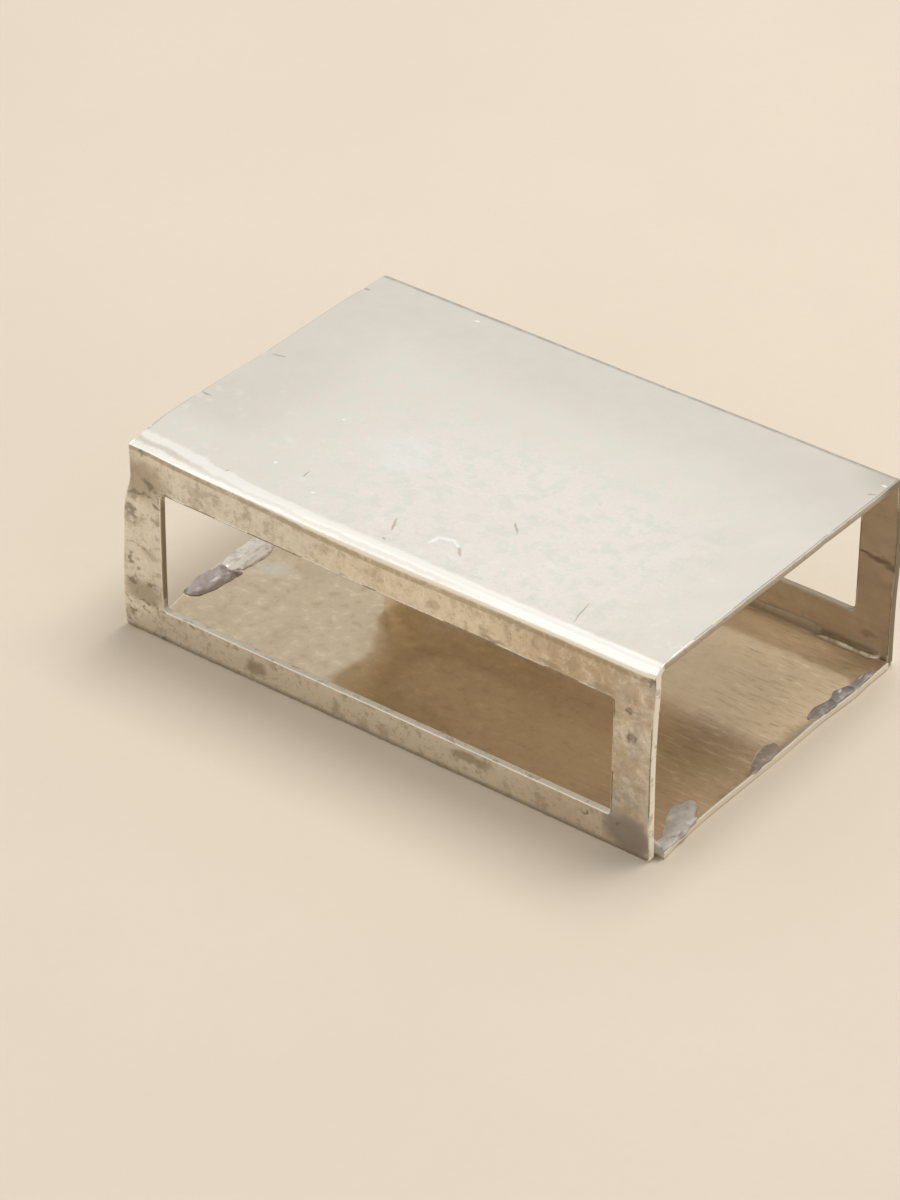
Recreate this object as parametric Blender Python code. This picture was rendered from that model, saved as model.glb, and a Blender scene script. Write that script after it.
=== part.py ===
"""A match holder: a short silver sleeve, open at both ends, that slips over a small box of matches.

One strip of sheet is bent into a top and two walls, and each wall has a long window that bares a
striking side of the box inside. A flat base plate lies between the feet of the walls. Solder runs
along both inner bottom corners, and four lumps of it lie on the ends of the plate.

Lengths are in metres. X runs along the sleeve, the near wall faces -Y and Z is up. The sleeve
stands on Z = 0, and the origin is under the middle of its bounding box.
"""

import math

import bmesh
import bpy
from mathutils import Vector

# Cover: the bent strip, measured over its outside
COVER_LENGTH = 0.0580
COVER_WIDTH = 0.0378
COVER_HEIGHT = 0.0202
COVER_SHEET = 0.0007
BEND_RADIUS = 0.00095
BEND_STEPS = 6

# The left end of the near wall stands a little proud of the end of the top
SHOULDER_RUNOUT = 0.0006
FOOT_RUNOUT = 0.0010
SHOULDER_LOW_SHARE = 0.67
SHOULDER_HIGH_SHARE = 0.81

# Windows: what is left of each wall around them
END_STILE = 0.00435
NEAR_LEFT_STILE = 0.0037
NEAR_SILL = 0.0033
NEAR_HEAD_RAIL = 0.0043
NEAR_HEAD_FALL = 0.0005
FAR_SILL = 0.0045
FAR_HEAD_RAIL = 0.0034
FAR_WINDOW_SHIFT = 0.0005
WINDOW_CORNER = 0.0005
CORNER_STEPS = 4
CUT_OVERRUN = 0.0010

# Base plate: its left end leans across the sleeve, and its right end stands a little proud of the
# cover and flares out at the near corner
PLATE_SHEET = 0.0007
PLATE_LEFT_SKEW = 0.0008
PLATE_RIGHT_PROUD = 0.0003
PLATE_FLARE = 0.00045
FLARE_RUN_SHARE = 0.17
NEAR_SEAM_CLEARANCE = 0.0005
FAR_SEAM_CLEARANCE = 0.0003

# Solder along the inner bottom corners
SOLDER_CLEARANCE = 0.0003
SEAM_LEG = 0.0008
SEAM_TIP_SHARE = 0.25
SEAM_HOLLOW_SHARE = 0.10
SEAM_SETBACK = 0.0012
SEAM_STATIONS = 25
BEAD_LEG = 0.0010
BEAD_LENGTH = 0.0065
BEAD_LEAD = 0.0008

# Solder lumps on the ends of the plate: run across the sleeve, reach along it, and rise
LUMP_ARC_STEPS = 8
LUMP_SETBACK = 0.00015

CORNER_LUMP_RUN = 0.0076
CORNER_LUMP_REACH = 0.0028
CORNER_LUMP_RISE = 0.0024
CORNER_LUMP_SHARES = (
    (0.00, 0.00, 0.46, 1.00),
    (0.07, 0.00, 0.46, 0.80),
    (0.16, 0.00, 0.50, 0.46),
    (0.24, 0.00, 0.48, 0.34),
    (0.45, 0.00, 0.65, 0.27),
    (0.63, 0.00, 0.89, 0.26),
    (0.79, 0.10, 0.98, 0.25),
    (0.92, 0.27, 0.87, 0.20),
    (1.00, 0.45, 0.70, 0.10),
)

DROP_PLACE_SHARE = 0.385
DROP_RUN = 0.0054
DROP_REACH = 0.0017
DROP_RISE = 0.0005
DROP_SHARES = (
    (0.00, 0.00, 0.15, 0.25),
    (0.14, 0.00, 0.28, 0.70),
    (0.31, 0.00, 0.60, 1.00),
    (0.50, 0.00, 0.81, 1.00),
    (0.71, 0.00, 0.95, 1.00),
    (0.88, 0.06, 1.00, 0.75),
    (1.00, 0.40, 0.81, 0.25),
)

EDGE_LUMP_PLACE_SHARE = 0.593
EDGE_LUMP_RUN = 0.0125
EDGE_LUMP_REACH = 0.0016
EDGE_LUMP_RISE = 0.0006
EDGE_LUMP_SHARES = (
    (0.00, 0.00, 0.30, 0.30),
    (0.08, 0.00, 0.59, 0.50),
    (0.16, 0.00, 0.68, 0.60),
    (0.28, 0.00, 0.76, 0.85),
    (0.35, 0.00, 0.85, 1.00),
    (0.42, 0.00, 0.71, 0.90),
    (0.53, 0.00, 0.54, 0.80),
    (0.59, 0.00, 0.77, 1.00),
    (0.64, 0.00, 0.86, 1.00),
    (0.73, 0.00, 0.44, 0.80),
    (0.87, 0.00, 0.58, 0.70),
    (0.945, 0.00, 0.25, 0.50),
    (1.00, 0.00, 0.15, 0.25),
)

LEFT_LUMP_PLACE_SHARE = 0.145
LEFT_LUMP_RUN = 0.0124
LEFT_LUMP_REACH = 0.0028
LEFT_LUMP_RISE = 0.0007
LEFT_LUMP_SHARES = (
    (0.00, 0.19, 0.49, 0.25),
    (0.08, 0.00, 0.69, 0.75),
    (0.22, 0.00, 0.84, 1.00),
    (0.38, 0.00, 0.92, 1.00),
    (0.45, 0.00, 0.96, 0.85),
    (0.50, 0.00, 0.80, 0.70),
    (0.58, 0.00, 0.94, 0.80),
    (0.72, 0.00, 0.94, 0.85),
    (0.88, 0.00, 0.89, 0.70),
    (1.00, 0.06, 0.55, 0.25),
)

# Places that several pieces share
WALL_INSIDE = COVER_WIDTH / 2 - COVER_SHEET
PLATE_NEAR = NEAR_SEAM_CLEARANCE - WALL_INSIDE
PLATE_FAR = WALL_INSIDE - FAR_SEAM_CLEARANCE
PLATE_WIDTH = PLATE_FAR - PLATE_NEAR
SOLDER_FLOOR = PLATE_SHEET + SOLDER_CLEARANCE
SOLDER_INSIDE = WALL_INSIDE - SOLDER_CLEARANCE
LEFT_REACH = COVER_LENGTH / 2 + max(FOOT_RUNOUT, SHOULDER_RUNOUT, PLATE_LEFT_SKEW / 2)
RIGHT_REACH = COVER_LENGTH / 2 + PLATE_RIGHT_PROUD + PLATE_FLARE

SILVER = {"color": (0.72, 0.66, 0.58, 1.0), "roughness": 0.34, "metallic": 1.0}
SOLDER = {"color": (0.42, 0.41, 0.42, 1.0), "roughness": 0.45, "metallic": 1.0}


def clear_scene():
    """Remove every object that the file opened with."""
    for item in list(bpy.data.objects):
        bpy.data.objects.remove(item, do_unlink=True)


def finish_material(name, finish):
    """Make a Principled BSDF material from a colour, a roughness and a metallic value."""
    material = bpy.data.materials.new(name)
    material.use_nodes = True
    shader = material.node_tree.nodes["Principled BSDF"]
    shader.inputs["Base Color"].default_value = finish["color"]
    shader.inputs["Roughness"].default_value = finish["roughness"]
    shader.inputs["Metallic"].default_value = finish["metallic"]
    return material


def mesh_object(name, shape, finish, parent):
    """Turn a bmesh into a named object with its own material, under the sleeve's empty."""
    bmesh.ops.recalc_face_normals(shape, faces=shape.faces)
    mesh = bpy.data.meshes.new(name)
    shape.to_mesh(mesh)
    shape.free()
    item = bpy.data.objects.new(name, mesh)
    bpy.context.scene.collection.objects.link(item)
    item.parent = parent
    if finish is not None:
        mesh.materials.append(finish_material(name, finish))
    return item


def bridge_rows(shape, first, second):
    """Fill the band between two rows of vertices, which have as many vertices each."""
    for near, far in zip(zip(first, first[1:]), zip(second, second[1:])):
        shape.faces.new((near[0], near[1], far[1], far[0]))


def loft(loops):
    """Join closed loops of points, in order, into one closed solid with flat ends."""
    shape = bmesh.new()
    rings = [[shape.verts.new(point) for point in loop] for loop in loops]
    for first, second in zip(rings, rings[1:]):
        bridge_rows(shape, first + first[:1], second + second[:1])
    shape.faces.new(rings[0])
    shape.faces.new(rings[-1])
    return shape


def arc(centre, radius, start, end, steps):
    """List points on an arc in a plane, from one angle to another in degrees."""
    points = []
    for step in range(steps + 1):
        angle = math.radians(start + (end - start) * step / steps)
        points.append((centre[0] + radius * math.cos(angle), centre[1] + radius * math.sin(angle)))
    return points


def near_half_profile(offset):
    """List the cover's section from the near foot to the top, at a depth under its outer face."""
    side = -COVER_WIDTH / 2 + offset
    heights = (0.0, COVER_HEIGHT * SHOULDER_LOW_SHARE, COVER_HEIGHT * SHOULDER_HIGH_SHARE)
    centre = (-COVER_WIDTH / 2 + BEND_RADIUS, COVER_HEIGHT - BEND_RADIUS)
    wall = [(side, height) for height in heights]
    return wall + arc(centre, BEND_RADIUS - offset, 180.0, 90.0, BEND_STEPS)


def cover_profile(offset):
    """List the cover's whole section, from the near foot over the top to the far foot."""
    near = near_half_profile(offset)
    far = [(-side, height) for side, height in reversed(near)]
    return near + far


def cover_ends(count):
    """List where the left and right ends of the strip lie, for each point of its section."""
    left = [-COVER_LENGTH / 2] * count
    left[0] -= FOOT_RUNOUT
    left[1] -= SHOULDER_RUNOUT
    return left, [COVER_LENGTH / 2] * count


def cover_shape():
    """Bend the strip: an outer and an inner skin, joined along both ends and both feet."""
    outer, inner = cover_profile(0.0), cover_profile(COVER_SHEET)
    left, right = cover_ends(len(outer))
    shape = bmesh.new()
    rows = []
    for profile, ends in ((outer, left), (outer, right), (inner, right), (inner, left)):
        rows.append([shape.verts.new((end, side, height)) for end, (side, height) in zip(ends, profile)])
    for first, second in zip(rows, rows[1:] + rows[:1]):
        bridge_rows(shape, first, second)
    for foot in (0, -1):
        shape.faces.new([row[foot] for row in rows])
    return shape


def rounded_outline(corners, radius):
    """Round the corners of a convex outline in a plane, each with a short arc."""
    points = []
    for index, corner in enumerate(corners):
        here = Vector(corner)
        back = (Vector(corners[index - 1]) - here).normalized()
        ahead = (Vector(corners[(index + 1) % len(corners)]) - here).normalized()
        half = back.angle(ahead) / 2
        centre = here + (back + ahead).normalized() * radius / math.sin(half)
        start = here + back * radius / math.tan(half) - centre
        end = here + ahead * radius / math.tan(half) - centre
        for step in range(CORNER_STEPS + 1):
            points.append(centre + radius * start.slerp(end, step / CORNER_STEPS))
    return points


def window_cutter(name, corners, side, parent):
    """Make the prism that cuts one window through the wall on that side, -1 near or 1 far."""
    outline = rounded_outline(corners, WINDOW_CORNER)
    outside = side * (COVER_WIDTH / 2 + CUT_OVERRUN)
    inside = side * (WALL_INSIDE - CUT_OVERRUN)
    loops = [[Vector((point.x, depth, point.y)) for point in outline] for depth in (outside, inside)]
    cutter = mesh_object(name, loft(loops), None, parent)
    cutter.hide_render = True
    cutter.display_type = "WIRE"
    return cutter


def cut(item, cutter):
    """Subtract the cutter from the item."""
    modifier = item.modifiers.new(cutter.name, "BOOLEAN")
    modifier.operation = "DIFFERENCE"
    modifier.solver = "EXACT"
    modifier.object = cutter


def smooth(item, angle):
    """Shade the item smooth, with sharp edges kept past the angle in degrees."""
    item.data.shade_smooth()
    item.data.set_sharp_from_angle(angle=math.radians(angle))


def make_cover(parent):
    """Make the bent cover with its two windows."""
    cover = mesh_object("cover_sheet", cover_shape(), SILVER, parent)
    smooth(cover, 30.0)
    half_window = COVER_LENGTH / 2 - END_STILE
    near_left = NEAR_LEFT_STILE - COVER_LENGTH / 2
    near_head = COVER_HEIGHT - NEAR_HEAD_RAIL
    near = ((near_left, NEAR_SILL), (half_window, NEAR_SILL),
            (half_window, near_head - NEAR_HEAD_FALL), (near_left, near_head))
    far_head = COVER_HEIGHT - FAR_HEAD_RAIL
    far_left, far_right = FAR_WINDOW_SHIFT - half_window, FAR_WINDOW_SHIFT + half_window
    far = ((far_left, FAR_SILL), (far_right, FAR_SILL), (far_right, far_head), (far_left, far_head))
    cut(cover, window_cutter("near_window_cut", near, -1, parent))
    cut(cover, window_cutter("far_window_cut", far, 1, parent))
    return cover


def plate_end(side, across):
    """Return where an end of the plate lies, -1 left or 1 right, at a place across the sleeve."""
    share = (across - PLATE_NEAR) / PLATE_WIDTH
    if side < 0:
        return PLATE_LEFT_SKEW * (0.5 - share) - COVER_LENGTH / 2
    flare = PLATE_FLARE * max(0.0, 1.0 - share / FLARE_RUN_SHARE)
    return COVER_LENGTH / 2 + PLATE_RIGHT_PROUD + flare


def across_plate(share):
    """Return the place across the sleeve at a share of the plate's width from its near edge."""
    return PLATE_NEAR + PLATE_WIDTH * share


def make_plate(parent):
    """Make the flat base plate between the feet of the walls."""
    flare_start = across_plate(FLARE_RUN_SHARE)
    corners = [(plate_end(1, across), across) for across in (PLATE_NEAR, flare_start, PLATE_FAR)]
    corners += [(plate_end(-1, across), across) for across in (PLATE_FAR, PLATE_NEAR)]
    loops = [[(x, y, height) for x, y in corners] for height in (0.0, PLATE_SHEET)]
    return mesh_object("base_plate", loft(loops), SILVER, parent)


def ramp(value, start, length):
    """Rise smoothly from 0 to 1 over a length that begins at the start."""
    share = min(max((value - start) / length, 0.0), 1.0)
    return share * share * (3.0 - 2.0 * share)


def seam_section(x, side, leg):
    """List the section of a fillet of solder in the corner of a wall and the plate."""
    tip, hollow = leg * SEAM_TIP_SHARE, leg * SEAM_HOLLOW_SHARE
    middle = (leg + tip) / 2 - hollow
    points = ((0.0, 0.0), (leg, 0.0), (leg, tip), (middle, middle), (tip, leg), (0.0, leg))
    return [(x, side * (SOLDER_INSIDE - inward), SOLDER_FLOOR + rise) for inward, rise in points]


def make_seam(name, side, right_end, bead_leg, parent):
    """Run a fillet of solder along one wall, with a thicker bead at its right end."""
    left_end = SEAM_SETBACK - COVER_LENGTH / 2
    bead_start = COVER_LENGTH / 2 - SEAM_SETBACK - BEAD_LENGTH
    sections = []
    for station in range(SEAM_STATIONS):
        x = left_end + (right_end - left_end) * station / (SEAM_STATIONS - 1)
        leg = SEAM_LEG + (bead_leg - SEAM_LEG) * ramp(x, bead_start, BEAD_LEAD)
        sections.append(seam_section(x, side, leg))
    seam = mesh_object(name, loft(sections), SOLDER, parent)
    smooth(seam, 40.0)
    return seam


def lump_section(end_side, across, outer, inner, rise):
    """List one low dome across a lump, from its outer to its inner reach from the plate's end."""
    end = plate_end(end_side, across) - end_side * LUMP_SETBACK
    points = []
    for step in range(LUMP_ARC_STEPS + 1):
        angle = math.pi * step / LUMP_ARC_STEPS
        reach = outer + (inner - outer) * (1.0 - math.cos(angle)) / 2
        points.append((end - end_side * reach, across, SOLDER_FLOOR + rise * math.sin(angle) ** 0.7))
    return points


def make_lump(name, end_side, start, size, shares, parent):
    """Make a lump of solder: a row of low domes that follows an end of the plate."""
    run, reach, rise = size
    sections = []
    for along, outer, inner, height in shares:
        across = start + along * run
        sections.append(lump_section(end_side, across, outer * reach, inner * reach, height * rise))
    lump = mesh_object(name, loft(sections), SOLDER, parent)
    smooth(lump, 60.0)
    return lump


def make_solder(parent):
    """Make both seams and the four lumps."""
    lump_inner_end = COVER_LENGTH / 2 - SEAM_SETBACK - CORNER_LUMP_REACH
    make_seam("near_seam_solder", -1, lump_inner_end, SEAM_LEG, parent)
    make_seam("far_seam_solder", 1, COVER_LENGTH / 2 - SEAM_SETBACK, BEAD_LEG, parent)
    make_lump("corner_solder_lump", 1, -SOLDER_INSIDE,
              (CORNER_LUMP_RUN, CORNER_LUMP_REACH, CORNER_LUMP_RISE), CORNER_LUMP_SHARES, parent)
    make_lump("small_solder_drop", 1, across_plate(DROP_PLACE_SHARE),
              (DROP_RUN, DROP_REACH, DROP_RISE), DROP_SHARES, parent)
    make_lump("right_edge_solder_lump", 1, across_plate(EDGE_LUMP_PLACE_SHARE),
              (EDGE_LUMP_RUN, EDGE_LUMP_REACH, EDGE_LUMP_RISE), EDGE_LUMP_SHARES, parent)
    make_lump("left_edge_solder_lump", -1, across_plate(LEFT_LUMP_PLACE_SHARE),
              (LEFT_LUMP_RUN, LEFT_LUMP_REACH, LEFT_LUMP_RISE), LEFT_LUMP_SHARES, parent)


def main():
    """Build the sleeve under one empty, which centres it on the origin."""
    clear_scene()
    sleeve = bpy.data.objects.new("sleeve", None)
    bpy.context.scene.collection.objects.link(sleeve)
    sleeve.location.x = (LEFT_REACH - RIGHT_REACH) / 2
    make_cover(sleeve)
    make_plate(sleeve)
    make_solder(sleeve)


main()
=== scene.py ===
"""The looks of a small silver match holder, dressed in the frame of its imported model.

The sleeve is a bent cover with two windows, a base plate, two seams of solder and four lumps of it.
Every shape is laid out in the maker's millimetres: x runs from the left end of the top to the right
open end, y from the outer face of the near wall to the far wall, and z up from the table.
"""

import logging
import math
from collections.abc import Mapping, Sequence
from dataclasses import dataclass
from enum import Enum
from functools import cache, cached_property, reduce

import bpy
import numpy as np
from mathutils import Matrix, Vector


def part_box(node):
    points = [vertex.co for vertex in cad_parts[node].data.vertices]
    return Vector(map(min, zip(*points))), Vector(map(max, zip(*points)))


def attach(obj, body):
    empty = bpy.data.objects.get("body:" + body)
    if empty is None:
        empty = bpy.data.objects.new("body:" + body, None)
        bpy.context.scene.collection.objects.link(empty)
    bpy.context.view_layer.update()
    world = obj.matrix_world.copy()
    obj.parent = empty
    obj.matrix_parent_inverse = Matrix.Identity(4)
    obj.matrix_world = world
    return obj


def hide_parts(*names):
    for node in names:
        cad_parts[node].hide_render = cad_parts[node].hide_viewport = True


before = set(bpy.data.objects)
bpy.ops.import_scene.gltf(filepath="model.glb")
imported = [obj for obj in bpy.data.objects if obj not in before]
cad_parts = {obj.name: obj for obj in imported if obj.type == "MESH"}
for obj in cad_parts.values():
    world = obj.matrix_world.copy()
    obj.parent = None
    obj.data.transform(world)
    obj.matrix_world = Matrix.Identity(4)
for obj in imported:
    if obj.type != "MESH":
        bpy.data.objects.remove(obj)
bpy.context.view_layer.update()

MM = 0.001
TINY = 1e-9
BODY = "root"

Colour = tuple[float, float, float]
Place = tuple[float, float, float]
Span = tuple[float, float]
Knots = Sequence[Span]
Block = tuple[tuple[int, int], tuple[int, int]]

log = logging.getLogger("match_holder")


class Slot(Enum):
    """The record's material slots."""

    COVER = "cover_silver"
    PLATE = "plate_silver"
    SEAM = "seam_solder"
    LUMP = "lump_solder"


class Bench:
    """The maker's frame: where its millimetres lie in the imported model's metres."""

    def __init__(self, top_length: float) -> None:
        """Read the cover's place from the frame.

        Args:
            top_length: length of the flat top, whose right end is the right end of the cover.
        """
        low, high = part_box("cover_sheet")
        self.origin = np.array([high.x - top_length * MM, low.y, low.z])
        self.length = top_length
        self.width = (high.y - low.y) / MM
        self.height = (high.z - low.z) / MM

    def metres(self, points: np.ndarray) -> np.ndarray:
        """Return maker's points in the model's metres."""
        return self.origin + points * MM


BENCH = Bench(top_length=58.0)


# Shapes

@dataclass
class Skin:
    """A closed surface: its points, its faces, and the numbers or colours that a finish reads there."""

    points: np.ndarray
    faces: list[np.ndarray]
    readings: dict[str, np.ndarray]

    def drop_spare_points(self) -> "Skin":
        """Leave out the points that no face uses.

        Returns:
            The same surface on fewer points.
        """
        used, where = np.unique(np.concatenate([face.ravel() for face in self.faces]), return_inverse=True)
        ends = np.cumsum([face.size for face in self.faces])[:-1]
        faces = [flat.reshape(face.shape) for flat, face in zip(np.split(where.ravel(), ends), self.faces)]
        return Skin(self.points[used], faces, {name: value[used] for name, value in self.readings.items()})

    def piece(self, name: str, node: str, slot: Slot, material: bpy.types.Material) -> bpy.types.Object:
        """Make the surface a piece of the object, in place of a node of the model.

        Args:
            name: the piece's name.
            node: the node that it stands for.
            slot: the record's slot of its finish; not used.
            material: its finish.

        Returns:
            The new object, which rides on the one body.
        """
        tidy = self.drop_spare_points()
        mesh = bpy.data.meshes.new(name)
        corners = [row for face in tidy.faces for row in face.tolist()]
        mesh.from_pydata(BENCH.metres(tidy.points), [], corners)
        for reading, values in tidy.readings.items():
            if values.ndim == 1:
                carrier = mesh.attributes.new(reading, "FLOAT", "POINT")
                carrier.data.foreach_set("value", values.astype(np.float32))
            else:
                opaque = np.hstack([values, np.ones((len(values), 1))]).astype(np.float32)
                carrier = mesh.attributes.new(reading, "FLOAT_COLOR", "POINT")
                carrier.data.foreach_set("color", opaque.ravel())
        mesh.materials.append(material)
        mesh.shade_smooth()
        item = bpy.data.objects.new(name, mesh)
        bpy.context.scene.collection.objects.link(item)
        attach(item, BODY)
        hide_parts(node)
        log.info("%s: %d faces", name, len(mesh.polygons))
        return item


def join_skins(skins: Sequence[Skin]) -> Skin:
    """Put surfaces with the same readings side by side in one.

    Args:
        skins: the surfaces.

    Returns:
        One surface of all their faces.
    """
    starts = np.cumsum([0] + [len(skin.points) for skin in skins])
    faces = [face + start for skin, start in zip(skins, starts) for face in skin.faces]
    readings = {name: np.concatenate([skin.readings[name] for skin in skins]) for name in skins[0].readings}
    return Skin(np.concatenate([skin.points for skin in skins]), faces, readings)


def graded(length: float, fine: float, coarse: float, reach: float) -> np.ndarray:
    """Spread stations over a span, close together at both ends.

    The spacing grows from fine at an end to coarse at the reach from it, and the stations are equal
    steps of the integral of one over the spacing.

    Args:
        length: length of the span.
        fine: spacing at its ends.
        coarse: spacing in its middle.
        reach: distance over which the spacing grows.

    Returns:
        Shares of the span, from 0 to 1.
    """
    samples = 600
    place = np.linspace(0.0, length, samples)
    spacing = fine + (coarse - fine) * np.clip(np.minimum(place, length - place) / reach, 0.0, 1.0)
    steps = np.diff(place) * (1 / spacing[1:] + 1 / spacing[:-1]) / 2
    count = np.concatenate(([0.0], np.cumsum(steps)))
    even = np.linspace(0.0, count[-1], int(np.ceil(count[-1])) + 1)
    return np.interp(even, count, place) / length


def smooth(value: np.ndarray, start: float, end: float) -> np.ndarray:
    """Rise smoothly from 0 at start to 1 at end, as 3t^2 - 2t^3."""
    share = np.clip((value - start) / (end - start), 0.0, 1.0)
    return share * share * (3.0 - 2.0 * share)


def through(knots: Knots, place: np.ndarray) -> np.ndarray:
    """Read a smooth curve through knots: a cubic on each span, with the mean slopes at its ends.

    Args:
        knots: pairs of a place and a value, by rising place.
        place: where the curve is read. Outside the knots it keeps the end values.

    Returns:
        One value per place.
    """
    places, values = np.array(knots, float).T
    slopes = np.gradient(values, places)
    span = np.clip(np.searchsorted(places, place) - 1, 0, len(places) - 2)
    width = places[span + 1] - places[span]
    t = np.clip((place - places[span]) / width, 0.0, 1.0)
    rise = t * t * (3.0 - 2.0 * t)
    bent = slopes[span] * t * (1.0 - t) ** 2 - slopes[span + 1] * t * t * (1.0 - t)
    return values[span] + (values[span + 1] - values[span]) * rise + width * bent


@dataclass(frozen=True)
class Wave:
    """An uneven wave: its height, the middle of its wavelengths, and the seed of its draws."""

    height: float
    length: float
    seed: int
    cosines: int = 7
    spread: Span = (0.7, 1.6)

    def at(self, points: np.ndarray) -> np.ndarray:
        """Read the wave: the scaled sum of cosines whose directions, lengths and phases are drawn.

        Args:
            points: places in millimetres, on the last axis.

        Returns:
            How far each point stands out.
        """
        draw = np.random.default_rng(self.seed)
        total = np.zeros(points.shape[:-1])
        for _ in range(self.cosines):
            direction = draw.normal(size=3)
            direction *= 2 * math.pi / (self.length * draw.uniform(*self.spread) * np.linalg.norm(direction))
            total += np.cos(points @ direction + draw.uniform(0.0, 2 * math.pi))
        return self.height * total / math.sqrt(self.cosines)


@dataclass(frozen=True)
class Dent:
    """A round dent: its middle, its radius and how deep it goes. A negative depth stands out."""

    middle: Place
    radius: float
    depth: float

    def at(self, points: np.ndarray) -> np.ndarray:
        """Return how far each point stands out, as a bell curve of the distance from the middle."""
        away = np.linalg.norm(points - np.array(self.middle), axis=-1) / self.radius
        return -self.depth * np.exp(-away * away)


def grid_quads(index: np.ndarray) -> np.ndarray:
    """Return the four corners of every cell of an index grid, counter-clockwise seen along its normal."""
    return np.stack([index[:-1, :-1], index[:-1, 1:], index[1:, 1:], index[1:, :-1]], axis=-1)


def around(rows: tuple[int, int], columns: tuple[int, int]) -> tuple[np.ndarray, np.ndarray]:
    """Walk once around a block of a grid, counter-clockwise.

    Args:
        rows: first and last row of the block.
        columns: first and last column of the block.

    Returns:
        The row and the column of each point on the way.
    """
    (low, high), (left, right) = rows, columns
    up, across = np.arange(low, high), np.arange(left, right)
    walk_rows = [np.full(len(across), low), up, np.full(len(across), high), up[::-1] + 1]
    walk_columns = [across, np.full(len(up), right), across[::-1] + 1, np.full(len(up), left)]
    return np.concatenate(walk_rows), np.concatenate(walk_columns)


@dataclass
class Sheet:
    """A sheet of silver on a grid of rows and columns, with blocks of cells cut out.

    The closed surface is the outer skin, the inner skin, and along every free edge a rim that rounds
    both arrises. Each free edge is pulled back by the arris, and the rim runs on a quarter circle from
    the outer skin to the cut face, and on another one to the inner skin.
    """

    outer: np.ndarray
    inner: np.ndarray
    readings: Mapping[str, np.ndarray]
    arris: float
    blocks: Sequence[Block] = ()
    arris_steps: int = 4

    def skin(self) -> Skin:
        """Close the sheet.

        Returns:
            Its surface, with the grid's readings and each point's depth in the sheet, from 0 to 1.
        """
        outer, inner = self.outer.copy(), self.inner.copy()
        rows, columns = outer.shape[:2]
        kept = np.ones((rows - 1, columns - 1), bool)
        for (low, high), (left, right) in self.blocks:
            kept[low:high, left:right] = False
        index = np.arange(rows * columns).reshape(rows, columns)
        quads = grid_quads(index)[kept]
        faces = [quads, quads[:, ::-1] + index.size]
        rims, depths = [], [np.zeros(index.size), np.ones(index.size)]
        carried = {name: [grid.ravel(), grid.ravel()] for name, grid in self.readings.items()}
        count = 2 * index.size
        outline = ((0, rows - 1), (0, columns - 1))
        for block, away in [(outline, 1.0), *((block, -1.0) for block in self.blocks)]:
            walk = around(*block)
            outer[walk], inner[walk], rim, depth = self._rim(walk, away)
            ring = np.arange(rim.shape[0] * rim.shape[1]).reshape(rim.shape[:2]) + count
            ladder = np.vstack([index[walk][None], ring, index[walk][None] + index.size])
            ladder = np.hstack([ladder, ladder[:, :1]])
            strip = grid_quads(ladder).reshape(-1, 4)
            faces.append(strip[:, ::-1] if away > 0 else strip)
            rims.append(rim.reshape(-1, 3))
            depths.append(np.repeat(depth, rim.shape[1]))
            for name, grid in self.readings.items():
                carried[name].append(np.tile(grid[walk], len(rim)))
            count += ring.size
        points = np.concatenate([outer.reshape(-1, 3), inner.reshape(-1, 3), *rims])
        readings = {name: np.concatenate(parts) for name, parts in carried.items()}
        return Skin(points, faces, {**readings, "depth": np.concatenate(depths)})

    def _rim(self, walk: tuple[np.ndarray, np.ndarray], away: float) -> tuple[np.ndarray, ...]:
        """Round one free edge.

        Args:
            walk: rows and columns of the grid's points along the edge.
            away: 1 where the metal lies inside the walk, -1 where it lies outside.

        Returns:
            The pulled-back points of the outer and inner skins, the rim's rows and their depths.
        """
        line, under = self.outer[walk], self.inner[walk] - self.outer[walk]
        down = under / np.linalg.norm(under, axis=-1, keepdims=True)
        along = np.roll(line, -1, axis=0) - np.roll(line, 1, axis=0)
        side = away * np.cross(down, along)
        side /= np.linalg.norm(side, axis=-1, keepdims=True)
        back, floor = line - self.arris * side, line + under - self.arris * side
        turn = np.linspace(0.0, math.pi / 2, self.arris_steps + 1)[:, None, None]
        out = back + self.arris * (np.sin(turn[1:]) * side + (1.0 - np.cos(turn[1:])) * down)
        into = floor + self.arris * (np.cos(turn[:-1]) * side - (1.0 - np.sin(turn[:-1])) * down)
        depth = np.linspace(0.0, 1.0, 2 * self.arris_steps + 2)[1:-1]
        return back, floor, np.concatenate([out, into]), depth


def between(start: np.ndarray, end: np.ndarray, share: np.ndarray) -> np.ndarray:
    """Return the place at a share of the way from start to end."""
    return start + (end - start) * share


def join_spans(spans: Sequence[np.ndarray]) -> tuple[np.ndarray, np.ndarray]:
    """Put the stations of spans that meet one after another, each shared station once.

    Args:
        spans: the stations of each span, as shares of it from 0 to 1.

    Returns:
        The number of the span that each station is in, and its share of that span.
    """
    kept = [share if number == 0 else share[1:] for number, share in enumerate(spans)]
    return np.repeat(np.arange(len(spans)), [len(share) for share in kept]), np.concatenate(kept)


class Part(Enum):
    """The spans of the cover's section, from the near foot over the top to the far foot."""

    NEAR_SILL = 0
    NEAR_WINDOW = 1
    NEAR_HEAD = 2
    NEAR_BEND = 3
    TOP = 4
    FAR_BEND = 5
    FAR_HEAD = 6
    FAR_WINDOW = 7
    FAR_SILL = 8

    @property
    def near(self) -> bool:
        """Whether the part lies before the top."""
        return self.value < Part.TOP.value


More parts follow.
